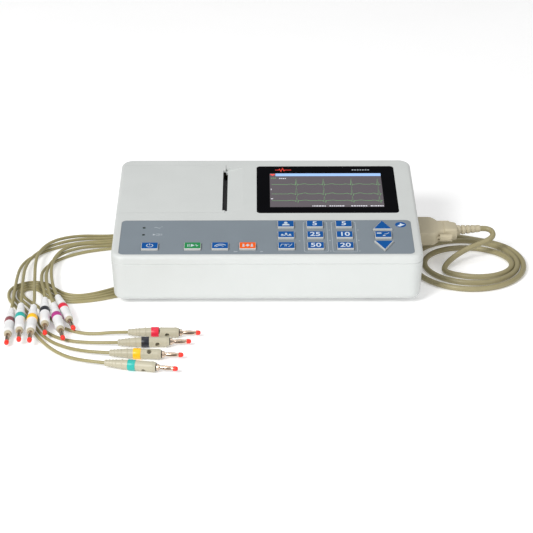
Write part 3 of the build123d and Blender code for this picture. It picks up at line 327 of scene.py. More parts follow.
def lathe(shape, profile, matrix, count=40, closed=False):
    """Adds a turned solid about local X, from (distance, radius) points in mm."""
    rings = []
    for distance, radius in profile:
        if radius == 0:
            rings.append([shape.verts.new(matrix @ (Vector((distance, 0, 0)) * MM))])
            continue
        ring = []
        for i in range(count):
            angle = 2 * math.pi * i / count
            point = Vector((distance, radius * math.cos(angle), radius * math.sin(angle)))
            ring.append(shape.verts.new(matrix @ (point * MM)))
        rings.append(ring)
    pairs = list(zip(rings, rings[1:]))
    if closed:
        pairs.append((rings[-1], rings[0]))
    for near, far in pairs:
        for i in range(count):
            j = (i + 1) % count
            ends = ((near, i), (near, j), (far, j), (far, i))
            corners = [ring[k % len(ring)] for ring, k in ends]
            shape.faces.new(list(dict.fromkeys(corners)))


# ---------------------------------------------------------------- cords
TRUNK_DIAMETER = 5.5
LEAD_DIAMETER = 3.0
TRUNK_LEAD_IN = [
    (199.8, 16.4, 27), (208.7, 17.9, 27), (217.2, 18.2, 26.8), (221.7, 14, 25.6),
    (222, 8, 23.4), (217, 4, 20.8), (208, 3, 17.2), (197, 0.5, 13.4), (187, -4.5, 9.8),
    (178, -12, 6.2), (172, -21.5, 3.4), (172, -32, 2.8),
]
TRUNK_RUN_OUT = [
    (200, 49.5, 2.8), (186, 53.5, 2.8), (173, 60.5, 2.8), (164.5, 73, 2.8), (158, 89, 2.8),
    (147, 106, 2.9), (132, 122, 3.6), (117, 131.8, 4.5), (104, 132, 4.5),
]
COIL_START, COIL_END, COIL_STEP = 235, 1150, 23  # degrees
COIL_HEIGHT = TRUNK_DIAMETER / 2 + 0.05
# The coil's limits: where each one starts, and how far it moves by the end
COIL_RIGHT, COIL_LEFT, COIL_FRONT = (237.4, 14.8), (163.5, -31.5), (-41.8, -35)
# The rear limit moves in two stretches: where each one starts, from which share on, and its way
COIL_REAR = ((26, 0.23, 18), (44, 0.615, 7))
COIL_REAR_STRETCH = 0.385


def coil_turns():
    """The trunk's loose turns, wound outwards from the lead-in to the run-out.

    Each turn is an oval between its right, left, front and rear limits, which move out at
    their own pace, so that the turns fan out towards the front and the rear.
    """
    turns = []
    steps = round((COIL_END - COIL_START) / COIL_STEP)
    for i in range(1, steps):
        share = i / steps
        angle = math.radians(COIL_START + (COIL_END - COIL_START) * share)
        right, left, front = (at + way * share for at, way in (COIL_RIGHT, COIL_LEFT, COIL_FRONT))
        start, since, way = COIL_REAR[int(share >= COIL_REAR[1][1])]
        rear = start + way * (share - since) / COIL_REAR_STRETCH
        turns.append((
            (right + left) / 2 + (right - left) / 2 * math.cos(angle),
            (rear + front) / 2 + (rear - front) / 2 * math.sin(angle),
            COIL_HEIGHT,
        ))
    return turns


LEAD_ROUTES = {
    "wire_r": [
        (70, 112.2, 4.5), (48, 112.2, 4.5), (22, 111, 1.8), (-8, 101, 1.6), (-33, 72, 1.6),
        (-50, 34, 1.6), (-68, -4, 1.6), (-92, -38, 1.6), (-120, -67, 1.6), (-150, -86, 1.6),
        (-176, -93.5, 1.6), (-191, -92.5, 1.6), (-203, -86, 1.6), (-210.5, -77, 1.6),
        (-215, -68.5, 1.6), (-221, -64.3, 1.6), (-227.8, -65.2, 1.6), (-231.3, -71.2, 1.6),
        (-229, -82, 1.6), (-222.5, -91.5, 1.6), (-214.5, -101.5, 1.6), (-207, -113, 1.6),
        (-198.5, -130, 1.6), (-188, -146, 1.6), (-173.5, -156.5, 1.6), (-156.5, -161.5, 2.4),
        (-139, -162.7, 5), (-116, -163.23, 5),
    ],
    "wire_n": [
        (70, 116.6, 4.5), (48, 116.6, 4.5), (21, 115.8, 1.8), (-12, 106, 1.6), (-38, 76, 1.6),
        (-55, 37, 1.6), (-73, -1, 1.6), (-96, -34, 1.6), (-123, -62, 1.6), (-151, -80.5, 1.6),
        (-175, -88.5, 1.6), (-188, -88, 1.6), (-199.5, -82.3, 1.6), (-207.5, -72.8, 1.6),
        (-214, -62.6, 1.6), (-225.5, -57.8, 1.6), (-235.4, -67, 1.6), (-234.4, -82.5, 1.6),
        (-227, -94.5, 1.6), (-219.3, -106.5, 1.6), (-212, -124, 1.6), (-208, -143, 1.6),
        (-198, -160, 1.6), (-183, -172, 1.6), (-165, -178, 2.4), (-147, -183.89, 5),
        (-124, -183.2, 5),
    ],
    "wire_l": [
        (70, 121, 4.5), (48, 121, 4.5), (20, 120.6, 1.8), (-15, 111, 1.6), (-43, 80, 1.6),
        (-60, 40, 1.6), (-78, 2, 1.6), (-100, -30, 1.6), (-126, -57, 1.6), (-152, -75, 1.6),
        (-173, -83.5, 1.6), (-185.5, -83.5, 1.6), (-196, -78.4, 1.6), (-204, -69, 1.6),
        (-211.3, -57.9, 1.6), (-226, -52.8, 1.6), (-239.6, -64.6, 1.6), (-239, -83.5, 1.6),
        (-231.3, -97.5, 1.6), (-224, -110.5, 1.6), (-217, -126, 1.6), (-212, -145, 1.6),
        (-203, -164, 1.6), (-191, -179, 1.6), (-174, -191, 2.2), (-152.97, -202.62, 5),
        (-130.02, -204.18, 5),
    ],
    "wire_f": [
        (70, 125.4, 4.5), (48, 125.4, 4.5), (19, 125.2, 1.8), (-18, 116, 1.6), (-48, 84, 1.6),
        (-65, 43, 1.6), (-83, 5, 1.6), (-104, -26, 1.6), (-129, -52, 1.6), (-153, -69.5, 1.6),
        (-171, -78.5, 1.6), (-182.5, -79, 1.6), (-192.3, -74.5, 1.6), (-200.5, -65.3, 1.6),
        (-208.3, -53.2, 1.6), (-226.5, -47.6, 1.6), (-243.9, -62.1, 1.6), (-243.5, -84.5, 1.6),
        (-235.7, -100.5, 1.6), (-228.3, -114, 1.6), (-221.5, -124, 1.6), (-216.5, -143, 1.6),
        (-210, -160, 1.6), (-203, -174, 1.6), (-192, -191, 1.6), (-177, -206, 1.8),
        (-155.78, -220.14, 5), (-133.17, -224.32, 5),
    ],
    "wire_c1": [
        (70, 138.6, 4.5), (48, 138.6, 4.5), (14, 138.9, 1.8), (-30, 132, 1.6), (-71, 100, 1.6),
        (-95.5, 69, 1.6), (-124, 49.5, 1.6), (-157, 41.5, 1.6), (-184.5, 31.5, 5.2),
        (-200, 13, 8.4), (-207, -9, 8.5), (-207.5, -31, 8.5), (-205.5, -52, 8.5),
        (-202.6, -69, 8.8), (-199.63, -83.65, 8.89), (-192.5, -105.5, 8.02),
    ],
    "wire_c6": [
        (70, 134.2, 4.5), (48, 134.2, 4.5), (15, 134.3, 1.8), (-27, 127, 1.6), (-66, 96.5, 1.6),
        (-92, 64, 1.6), (-122, 44, 1.6), (-157, 34.5, 1.6), (-182.5, 25.8, 4.4), (-200.5, 11, 5),
        (-209.5, -10, 5.1), (-211.8, -33, 6.2), (-210, -58, 8.2), (-205.6, -83, 10.2),
        (-200.5, -103.35, 10.69), (-195.37, -125.73, 9.47),
    ],
    "wire_c5": [
        (70, 129.8, 4.5), (48, 129.8, 4.5), (16, 129.8, 1.8), (-24, 122, 1.6), (-61, 93, 1.6),
        (-88.5, 59, 1.6), (-120, 38.5, 1.6), (-156, 28, 1.6), (-179.5, 20.8, 1.6),
        (-198.5, 8, 1.6), (-211.5, -9, 1.6), (-216.5, -32, 4.4), (-214.5, -58, 8),
        (-211, -79, 10.8), (-207.74, -92.58, 11.29), (-205.54, -115.44, 10.07),
    ],
    "wire_c2": [
        (70, 151.8, 4.5), (48, 151.8, 4.5), (11, 152.5, 1.8), (-39, 147, 1.6), (-87, 112, 1.6),
        (-106, 84, 1.6), (-130, 65, 1.6), (-158, 58.5, 1.6), (-189, 51.5, 5.6),
        (-212.5, 32.5, 8.6), (-224, 4, 8.6), (-223.5, -27, 8.6), (-220.8, -56, 9),
        (-218.4, -83, 10.6), (-215.7, -107.52, 10.85), (-214.82, -130.48, 9.87),
    ],
    "wire_c3": [
        (70, 147.4, 4.5), (48, 147.4, 4.5), (12, 148, 1.8), (-36, 142, 1.6), (-81, 108, 1.6),
        (-102.5, 79, 1.6), (-128, 59.5, 1.6), (-158, 53, 1.6), (-189, 46.5, 4.2), (-214, 29, 5),
        (-229, 4, 5), (-233.5, -22, 5.6), (-232.5, -50, 7.2), (-230.2, -80, 9.8),
        (-228.11, -104.06, 11.08), (-226.5, -126.96, 9.7),
    ],
    "wire_c4": [
        (70, 143, 4.5), (48, 143, 4.5), (13, 143.5, 1.8), (-33, 137, 1.6), (-76, 104, 1.6),
        (-99, 74, 1.6), (-126, 54.5, 1.6), (-157, 47.5, 1.6), (-188.5, 42, 1.6),
        (-214, 27.5, 1.6), (-232.5, 6, 1.6), (-238.5, -17, 3.2), (-238.8, -45, 5.8),
        (-237.6, -78, 6.6), (-236.61, -106.01, 6.3), (-235.71, -128.99, 5.77),
    ],
}


def lay_cord(name, points, diameter, look):
    """One cord: a smooth line with its route's points as control points."""
    curve = bpy.data.curves.new(name, "CURVE")
    curve.dimensions = "3D"
    curve.bevel_depth = diameter / 2 * MM
    curve.bevel_resolution = 5
    curve.resolution_u = 10
    curve.use_fill_caps = True
    spline = curve.splines.new("NURBS")
    spline.points.add(len(points) - 1)
    for control, (x, y, z) in zip(spline.points, points):
        control.co = (x * MM, y * MM, z * MM, 1)
    spline.order_u = 3
    spline.use_endpoint_u = True
    return add_piece(name, curve, "housing", look)


trunk_route = TRUNK_LEAD_IN + coil_turns() + TRUNK_RUN_OUT
trunk = lay_cord("trunk_cable", trunk_route, TRUNK_DIAMETER, JACKET)
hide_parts("trunk_lead_in", "trunk_coil", "trunk_run_out")
for wire, route in LEAD_ROUTES.items():
    lay_cord(wire.replace("wire", "lead"), route, LEAD_DIAMETER, LEAD_JACKET)
    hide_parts(wire)

# ---------------------------------------------------------------- lead plugs
CHEST_PLUGS = {
    "c1": ((-195.6, -96, 8.4), (-174.4, -161, 5.8), "red"),
    "c2": ((-215.2, -120.5, 10.3), (-212.6, -188.5, 7.4), "yellow"),
    "c3": ((-227.2, -117, 10.3), (-222.4, -185, 6.2), "teal"),
    "c4": ((-236.1, -119, 6), (-233.5, -185, 4.5), "brown"),
    "c5": ((-206.5, -105.5, 10.6), (-200, -173, 7), "black"),
    "c6": ((-197.6, -116, 10), (-182.5, -182, 6.4), "magenta"),
}
LIMB_PLUGS = {
    "r": ((-126, -163, 5), (-60, -164.5, 5), "red"),
    "n": ((-134, -183.5, 5), (-68, -181.5, 5), "black"),
    "l": ((-140, -203.5, 5), (-74, -208, 5), "yellow"),
    "f": ((-143, -222.5, 5), (-78, -234.5, 5), "teal"),
}


def plug_matrix(tail, tip):
    """Local X along a plug from its tail, local Z as near up as it can be."""
    along = (Vector(tip) - Vector(tail)).normalized()
    across = Vector((0, 0, 1)).cross(along).normalized()
    up = along.cross(across)
    matrix = Matrix((along, across, up)).transposed().to_4x4()
    return Matrix.Translation(Vector(tail) * MM) @ matrix


BEAD_ROOT = 0.5


def bead(distance, radius, width, height):
    """Profile of a rounded ring round a plug, sunk a little into it."""
    return [
        (distance - width / 2, radius - BEAD_ROOT), (distance - width / 2, radius + height * 0.55),
        (distance - width * 0.3, radius + height * 0.92), (distance, radius + height),
        (distance + width * 0.3, radius + height * 0.92),
        (distance + width / 2, radius + height * 0.55), (distance + width / 2, radius - BEAD_ROOT),
    ]


# Outlines along a plug, from its tail: distance and radius
BAND = [(21.1, 4.4), (21.1, 4.78), (21.4, 4.9), (27.6, 4.9), (27.9, 4.78), (27.9, 4.4)]
CHEST_COLLAR = [(45.6, 2.2), (45.6, 3.5), (48.2, 3.45), (49.2, 3.0), (49.2, 2.2)]
# The limb plugs' ring is painted shade: a thin black ring at the housing's end that stands for the
# shaded gap there.
LIMB_SHADE_RING = [(45.6, 2.2), (45.6, 3.3), (46.6, 3.3), (46.8, 3.1), (46.8, 2.2)]
# Beads along a plug: distance, radius of the plug there, width and height
TAIL_RADIUS, TAIL_TAPER = 2.6, 1.4 / 15
BEADS = [(distance, TAIL_RADIUS + TAIL_TAPER * distance, 1.3, 0.26)
         for distance in (1.2, 4.2, 7.2, 10.2)]
BEADS += [(15.6, 4.0, 1.6, 0.4), (30.2, 4.55, 1.0, 0.14), (42.6, 4.5, 2.2, 0.2)]
INDEX_BAR = block(24.5, 0, 1.0, 0.64)
INDEX_LOW, INDEX_HIGH = 4.86, 4.97
INDEX_TURN, INDEX_STEP = -30, -7  # degrees about the plug
ALL_PLUGS = {**CHEST_PLUGS, **LIMB_PLUGS}
pieces_on = {}
for name, (tail, tip, colour) in ALL_PLUGS.items():
    matrix = plug_matrix(tail, tip)
    chest = name in CHEST_PLUGS
    body_look, body_slot = (WHITE, "plug_white") if chest else (BEIGE, "plug_beige")
    shape = bmesh.new()
    lathe(shape, BAND, matrix, closed=True)
    band = add_mesh(f"band_{name}", shape, "housing", BANDS[colour], smooth=True)
    pieces_on[name] = [band]
    if not chest:
        # A plain index bar round part of the band
        shape = bmesh.new()
        for step in range(-2, 3):
            turn = math.radians(INDEX_TURN + INDEX_STEP * step)
            at = matrix @ Matrix.Rotation(turn, 4, "X")
            prism(shape, INDEX_BAR, INDEX_LOW, INDEX_HIGH, at)
        bar_look = BLACK if colour in ("yellow", "teal") else PRINT
        pieces_on[name].append(add_mesh(f"index_{name}", shape, "housing", bar_look))
    # Ribs of the plug's own strain relief, its shoulder, and the beads of its body
    shape = bmesh.new()
    for place in BEADS:
        lathe(shape, bead(*place), matrix, closed=True)
    ribs = add_mesh(f"ribs_{name}", shape, "housing", body_look, smooth=True)
    # Chest plugs get a grey sleeve at the housing's end; limb plugs get a black ring there instead,
    # which is painted shade for the shaded gap at the housing's end.
    sleeve_or_shade_ring, sleeve_or_shade_look = (CHEST_COLLAR, PLUG_GREY) if chest else (LIMB_SHADE_RING, BLACK)
    shape = bmesh.new()
    lathe(shape, sleeve_or_shade_ring, matrix, closed=True)
    ring = add_mesh(f"collar_{name}", shape, "housing", sleeve_or_shade_look, smooth=True)
    pieces_on[name] += [ribs, ring]


PIN_CORE = [(44, 0), (44, 3.0), (48.8, 3.0), (48.8, 1.9), (50.2, 1.7), (50.2, 1.15),
            (59.8, 1.15), (59.8, 1.8), (61.6, 1.8), (61.6, 0)]
LEAF_START, LEAF_LENGTH = 49.4, 11.2
LEAF_REACH, LEAF_BULGE, LEAF_THICKNESS = 1.55, 0.5, 0.3
LEAF_SPAN, LEAF_STEPS, LEAF_ACROSS = math.radians(66), 12, 5


def banana_pin(matrix):
    """A core rod inside four sprung leaves that bulge in the middle."""
    shape = bmesh.new()
    lathe(shape, PIN_CORE, matrix, count=28)
    for leaf in range(4):
        middle = math.radians(45 + 90 * leaf)
        grid = {}
        for i in range(LEAF_STEPS + 1):
            share = i / LEAF_STEPS
            reach = LEAF_REACH + LEAF_BULGE * math.sin(math.pi * share)
            for j in range(LEAF_ACROSS + 1):
                angle = middle + LEAF_SPAN * (j / LEAF_ACROSS - 0.5)
                for layer, radius in enumerate((reach, reach - LEAF_THICKNESS)):
                    point = Vector((LEAF_START + LEAF_LENGTH * share, radius * math.cos(angle),
                                    radius * math.sin(angle)))
                    grid[i, j, layer] = shape.verts.new(matrix @ (point * MM))
        for i in range(LEAF_STEPS):
            for j in range(LEAF_ACROSS):
                for layer in range(2):
                    shape.faces.new([grid[i, j, layer], grid[i + 1, j, layer],
                                     grid[i + 1, j + 1, layer], grid[i, j + 1, layer]])
            for j in (0, LEAF_ACROSS):
                shape.faces.new([grid[i, j, 0], grid[i + 1, j, 0],
                                 grid[i + 1, j, 1], grid[i, j, 1]])
        for i in (0, LEAF_STEPS):
            for j in range(LEAF_ACROSS):
                shape.faces.new([grid[i, j, 0], grid[i, j + 1, 0],
                                 grid[i, j + 1, 1], grid[i, j, 1]])
    return shape


for name, (tail, tip, _) in ALL_PLUGS.items():
    pin = add_mesh(f"pin_{name}", banana_pin(plug_matrix(tail, tip)), "housing", PIN,
                   smooth=True)
    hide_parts("plug_pins")
    pieces_on[name].append(pin)

# ---------------------------------------------------------------- patient plug
SOCKET_Y, SOCKET_Z = 12, 27
HOOD = [  # distance out from the row's middle, width, height and corner radius
    (145.1, 42.4, 12.8, 2.2), (145.9, 43.0, 13.4, 2.4), (159.5, 43.0, 13.4, 2.4),
    (162.0, 42.4, 13.2, 2.8), (164.2, 40.0, 12.6, 3.4), (166.0, 36.0, 12.0, 3.8),
    (167.6, 31.0, 11.5, 4.0), (169.6, 26.6, 11.2, 3.8), (172.5, 23.4, 11.2, 3.6),
    (173.4, 22.6, 11.2, 3.4), (173.9, 23.8, 13.0, 2.2), (174.8, 24.0, 13.4, 2.0),
    (184.6, 18.6, 11.8, 2.4), (185.8, 17.6, 11.2, 2.6), (186.2, 15.6, 9.6, 2.6),
]
shape = bmesh.new()
loops = []
for x, width, height, radius in HOOD:
    loops.append([
        shape.verts.new(Vector((x, y, z)) * MM)
        for y, z in rounded(SOCKET_Y, SOCKET_Z, width, height, radius, steps=8)
    ])
for near, far in zip(loops, loops[1:]):
    for i in range(len(near)):
        j = (i + 1) % len(near)
        shape.faces.new((near[i], near[j], far[j], far[i]))
shape.faces.new(loops[0][::-1])
shape.faces.new(loops[-1])
hood = add_mesh("plug_hood", shape, "housing", PLUG_GREY, smooth=True)
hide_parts("patient_plug")
# Five raised grip ribs above and below
GRIP_START, GRIP_PITCH, GRIP_HEIGHT = 149.2, 2.2, 0.45
GRIP_RIB = (1.1, 20, 0.5)  # width, length and corner radius
HOOD_HALF = 6.3
shape = bmesh.new()
for side in (1, -1):
    rest = Matrix.Translation(Vector((0, SOCKET_Y, SOCKET_Z + side * HOOD_HALF)) * MM)
    for i in range(5):
        rib = rounded(GRIP_START + GRIP_PITCH * i, 0, *GRIP_RIB)
        prism(shape, rib, -GRIP_HEIGHT, GRIP_HEIGHT, rest)
grips = add_mesh("plug_grips", shape, "housing", PLUG_GREY)

# The trunk's strain relief: a cone with four grooves, bridged by a spine above and below
RELIEF_GROOVES = (4.6, 9.6, 14.6, 19.6)
RELIEF_RADIUS, RELIEF_TAPER, GROOVE_RADIUS = 5.05, 1.6 / 24, 3.05
SPINE = [(0.5, -1.1), (22.6, -0.9), (22.6, 0.9), (0.5, 1.1)]
SPINE_LOW, SPINE_HIGH = 2.6, 3.35
relief_matrix = plug_matrix((186, 14, 27), (209, 18, 27))
profile = [(-0.6, 0), (-0.6, 4.9), (0.9, 4.95)]
for groove in RELIEF_GROOVES:
    radius = RELIEF_RADIUS - RELIEF_TAPER * groove
    profile += [
        (groove - 1.15, radius), (groove - 0.95, radius - 0.15), (groove - 0.85, GROOVE_RADIUS),
        (groove + 0.85, GROOVE_RADIUS), (groove + 0.95, radius - 0.25),
        (groove + 1.15, radius - 0.1),
    ]
profile += [(23.4, 3.5), (24.0, 3.2), (24.0, 0)]
shape = bmesh.new()
lathe(shape, profile, relief_matrix)
for side in (0, 180):
    spine = relief_matrix @ Matrix.Rotation(math.radians(side), 4, "X")
    prism(shape, SPINE, SPINE_LOW, SPINE_HIGH, spine)
relief = add_mesh("ribbed_relief", shape, "housing", PLUG_GREY, smooth=True)
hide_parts("cable_relief")

# ---------------------------------------------------------------- keys
KEY_LABEL = (14.8, 11.2, 0.7)  # width, height and corner radius
KEY_FACE, LABEL_TOP, ICON_TOP = 1.9, 1.97, 2.03
LABEL_LOW, ICON_LOW = KEY_FACE - 0.05, LABEL_TOP - 0.02
FIGURE_SIZE, FIGURE_BOLD, FIGURE_NARROW = 10.4, 0.16, 0.98
FIGURE_DEPTH = 0.03
ARROW_HALF, ARROW_BACK, ARROW_TIP = 8.1, 5.0, 10.8
KEY_PLACES = {
    "power_key": (-109.2, 18.0), "start_key": (-69.4, 18.0), "cal_key": (-43.8, 18.0),
    "stop_key": (-18.1, 18.0), "patient_key": (18.0, 60.1), "lead_key": (18.0, 39.1),
    "mode_key": (18.0, 18.0), "speed_5_key": (45.4, 60.1), "speed_25_key": (45.4, 39.1),
    "speed_50_key": (45.4, 18.0), "gain_5_key": (73.0, 60.1), "gain_10_key": (73.0, 39.1),
    "gain_20_key": (73.0, 18.0), "menu_key": (109.4, 38.9),
}
ARROW_PLACES = {"up_key": (109.4, 55.0, 1), "down_key": (109.4, 21.1, -1)}
NUMBERS = {"speed_5_key": "5", "speed_25_key": "25", "speed_50_key": "50",
           "gain_5_key": "5", "gain_10_key": "10", "gain_20_key": "20"}
ICONS = {
    "power_key": [arc(0, -0.2, 2.9, 118, 422, 0.75), stroke([(0, 0.4), (0, 3.6)], 0.8)],
    "start_key": [
        stroke([(-4.4, 2.4), (-4.4, -2.4)], 0.6), stroke([(-3.1, 2.4), (-3.1, -2.4)], 0.6),
        [(-1.6, -2.8), (2.0, 0), (-1.6, 2.8)],
        stroke([(2.6, 0), (3.3, 1.6), (4.0, -1.6), (4.6, 0), (5.4, 0)], 0.55),
    ],
    "cal_key": [
        stroke([(-5.2, -1.9), (-3.2, 1.0), (-0.6, 2.2), (2.6, 2.0), (5.2, 0.2)], 1.0),
        stroke([(-4.0, -2.9), (-1.2, -0.6), (1.2, -0.4), (3.2, -2.2)], 0.7),
    ],
    "stop_key": [
        disc(-3.9, 1.6, 1.0), [(-5.2, -2.6), (-2.6, -2.6), (-3.2, 0.2), (-4.6, 0.2)],
        disc(3.9, 1.6, 1.0), [(2.6, -2.6), (5.2, -2.6), (4.6, 0.2), (3.2, 0.2)],
        [(-1.9, 0), (0, -2.6), (1.9, 0), (0, 2.6)],
    ],
    "patient_key": [
        disc(0, 2.0, 1.7),
        [(-3.6, -3.5), (3.6, -3.5), (3.2, -1.4), (1.3, 0.0), (-1.3, 0.0), (-3.2, -1.4)],
    ],
    "lead_key": [
        disc(-3.6, -0.6, 1.1), disc(0, 1.7, 1.1), disc(3.6, -0.6, 1.1),
        stroke([(-5.0, -3.0), (-1.6, -2.4), (0, 0.2), (1.6, -2.4), (5.0, -3.0)], 0.8),
    ],
    "mode_key": [
        stroke([(-5.4, -2.2), (-4.6, 1.8), (-0.8, 1.8), (-1.6, -2.2)], 0.55),
        stroke([(-0.4, -2.2), (0.4, 1.8), (3.0, 1.8)], 0.55),
        stroke([(1.2, -2.4), (2.8, -2.2), (5.4, 2.4)], 0.6),
    ],
    "menu_key": [
        block(-3.9, 2.0, 4.4, 2.0), block(0.6, -2.6, 2.4, 1.5),
        stroke([(1.0, 0.2), (3.0, 0.4), (5.6, 2.8)], 0.7),
    ],
}
LABEL_LOOKS = {"start_key": GREEN, "stop_key": ORANGE}


def figures(name, text, place):
    """Mesh of the figures printed on a key."""
    words = bpy.data.curves.new(name, "FONT")
    words.body = text
    words.align_x = "CENTER"
    words.align_y = "CENTER"
    words.size = FIGURE_SIZE * MM
    words.offset = FIGURE_BOLD * MM
    words.extrude = FIGURE_DEPTH * MM
    holder = bpy.data.objects.new(name, words)
    bpy.context.scene.collection.objects.link(holder)
    bpy.context.view_layer.update()
    depsgraph = bpy.context.evaluated_depsgraph_get()
    mesh = bpy.data.meshes.new_from_object(holder.evaluated_get(depsgraph))
    bpy.data.objects.remove(holder)
    spot = Vector((*place, ICON_TOP - FIGURE_DEPTH)) * MM
    mesh.transform(TOP @ Matrix.Translation(spot) @ Matrix.Diagonal((FIGURE_NARROW, 1, 1, 1)))
    mesh.materials.clear()
    return mesh


for key, place in KEY_PLACES.items():
    label = rounded(0, 0, *KEY_LABEL)
    printed(f"label_{key}", [label], place, LABEL_LOW, LABEL_TOP, key,
            LABEL_LOOKS.get(key, BLUE))
    if key in NUMBERS:
        add_piece(f"mark_{key}", figures(key, NUMBERS[key], place), key, PRINT)
    else:
        printed(f"mark_{key}", ICONS[key], place, ICON_LOW, ICON_TOP, key, ICON_PRINT)
for key, (x, v, way) in ARROW_PLACES.items():
    triangle = [(px * way, py * way) for px, py in (
        (-ARROW_HALF, -ARROW_BACK), (ARROW_HALF, -ARROW_BACK), (0, ARROW_TIP),
    )]
    printed(f"label_{key}", [triangle], (x, v), LABEL_LOW, LABEL_TOP, key, BLUE)

# ---------------------------------------------------------------- keypad printing
FILM_LOW, FILM_HIGH = -0.12, -0.04
FRAME_MIDDLE, FRAME_HEIGHT, FRAME_RADIUS, FRAME_LINE = 37.8, 59.0, 2.6, 0.4
SMALL_MARK_HEIGHT = 0.9
shape = bmesh.new()
for left, right in ((34.4, 57.1), (61.0, 84.2)):
    outer, inner = (
        rounded((left + right) / 2, FRAME_MIDDLE, right - left - 2 * inset,
                FRAME_HEIGHT - 2 * inset, FRAME_RADIUS - inset)
        for inset in (0, FRAME_LINE)
    )
    hoop(shape, outer, inner, FILM_LOW, FILM_HIGH)
add_mesh("key_group_frames", shape, "housing", FAINT)
small_marks = [block(x, v, width, SMALL_MARK_HEIGHT) for x, v, width in (
    (-29.3, 9.6, 3.6), (-5.2, 9.6, 2.4), (30.4, 29.8, 1.3), (59.0, 50.8, 1.2), (59.0, 30.6, 1.2),
    (59.0, 10.2, 1.2), (86.0, 50.8, 1.2), (86.0, 30.6, 1.2), (86.0, 10.2, 1.2),
)]
lamp_signs = [
    stroke([(-106.4, 56.2), (-104.9, 57.2), (-103.4, 56.2), (-101.9, 55.2), (-100.4, 56.2)], 0.5),
    stroke([(-99.8, 58.0), (-99.0, 58.0)], 0.7),
    [(-107.4, 44.2), (-107.4, 41.0), (-104.6, 42.6)],
    stroke([(-104.2, 44.0), (-101.4, 44.0), (-101.4, 41.2), (-104.2, 41.2)], 0.5),
    block(-99.4, 43.6, 1.8, 0.6), block(-99.4, 41.8, 1.8, 0.6),
]
printed("panel_marks", small_marks + lamp_signs, (0, 0), FILM_LOW, FILM_HIGH, "housing",
        FAINT)
printed("round_sign", [disc(127.1, 61.2, 5.2, 48)], (0, 0), FILM_LOW, FILM_HIGH, "housing",
        BLUE)
glyph = [(123.6, 58.4), (126.4, 57.4), (128.4, 59.2), (131.2, 61.4), (128.8, 62.2), (126.8, 64.6),
         (126.4, 61.6), (125.0, 60.2)]
printed("round_sign_glyph", [glyph], (0, 0), FILM_HIGH - 0.02, FILM_HIGH + 0.05, "housing",
        PRINT)
LAMP_PLACES = ((-116.2, 56.0), (-116.2, 42.3))
LAMP_RADIUS, LAMP_RISE, LAMP_LIP, LAMP_LOW = 1.35, 0.7, 0.05, -0.15
dome = [(0.0, 0.0)]
for angle in (0, math.radians(30), math.radians(60)):
    dome.append((LAMP_LIP + LAMP_RISE * math.sin(angle), LAMP_RADIUS * math.cos(angle)))
dome.append((LAMP_LIP + LAMP_RISE, 0.0))
outwards = Matrix.Rotation(-math.pi / 2, 4, "Y")
lamps = bmesh.new()
for x, v in LAMP_PLACES:
    lathe(lamps, dome, TOP @ Matrix.Translation(Vector((x, v, LAMP_LOW)) * MM) @ outwards, count=24)
add_mesh("indicator_lamps", lamps, "housing", LIGHT, smooth=True)

# ---------------------------------------------------------------- display
SCREEN_LEFT, SCREEN_FRONT = 3.5, 97.7
SCREEN_WIDTH, SCREEN_HEIGHT = 110.5, 72.2
GLASS = -0.4
PRINT_LOW, PRINT_HIGH = GLASS - 0.02, GLASS + 0.04
TRACE_WIDTH, SIGN_WIDTH = 0.42, 0.35
TRACE_START, TRACE_END, LAST_KNEE = 0.015, 0.992, 0.99


def on_screen(x, y):
    """A place on the screen from shares of its width and height, up from its near left."""
    return SCREEN_LEFT + SCREEN_WIDTH * x, SCREEN_FRONT + SCREEN_HEIGHT * y


def screen_block(x0, x1, y0, y1):
    """Outline of a rectangle between shares of the screen."""
    (a, b), (c, d) = on_screen(x0, y0), on_screen(x1, y1)
    return [(a, b), (c, b), (c, d), (a, d)]


# Shares of the screen: where the beats are, each channel's base line, rise and dip, and the
# knees of one beat with their levels.  Knees away from the spike are drawn lower.
BEATS = [0.236, 0.48, 0.728, 0.965]
CHANNELS = [(0.665, 0.17, 0.03), (0.385, 0.25, 0.06), (0.19, 0.13, 0.07)]
SPIKE_REACH, DIP_GAIN, WAVE_GAIN = 0.02, 3, 0.5
BEAT_SHAPE = [
    (-0.075, 0.0), (-0.060, 0.10), (-0.045, 0.16), (-0.030, 0.02), (-0.013, -0.02), (-0.008, -0.14),
    (0.0, 1.0), (0.008, -0.30), (0.014, 0.0), (0.035, 0.02), (0.060, 0.20), (0.080, 0.22),
    (0.100, 0.04), (0.115, 0.0),
]
traces = []
for base, rise, dip in CHANNELS:
    points = [on_screen(TRACE_START, base)]
    for beat in BEATS:
        for shift, level in BEAT_SHAPE:
            if beat + shift < LAST_KNEE:
                height = rise * level if level > 0 else dip * level * DIP_GAIN
                gain = WAVE_GAIN if abs(shift) > SPIKE_REACH else 1
                points.append(on_screen(beat + shift, base + height * gain))
    points.append(on_screen(TRACE_END, base))
    traces.append(stroke(points, TRACE_WIDTH))
printed("screen_traces", traces, (0, 0), PRINT_LOW, PRINT_HIGH, "housing", TRACE)
printed("screen_title_bar", [screen_block(0.052, 1.0, 0.915, 0.995)], (0, 0), PRINT_LOW,
        PRINT_HIGH, "housing", BAR)
heart = [(0, -1.9), (2.1, 0.4), (1.9, 1.6), (0.9, 1.9), (0, 1.1), (-0.9, 1.9), (-1.9, 1.6),
         (-2.1, 0.4)]
printed("screen_heart", [[(1.2 * x, y) for x, y in heart]], (6.4, 166.6), PRINT_LOW, PRINT_HIGH,
        "housing", ALERT)
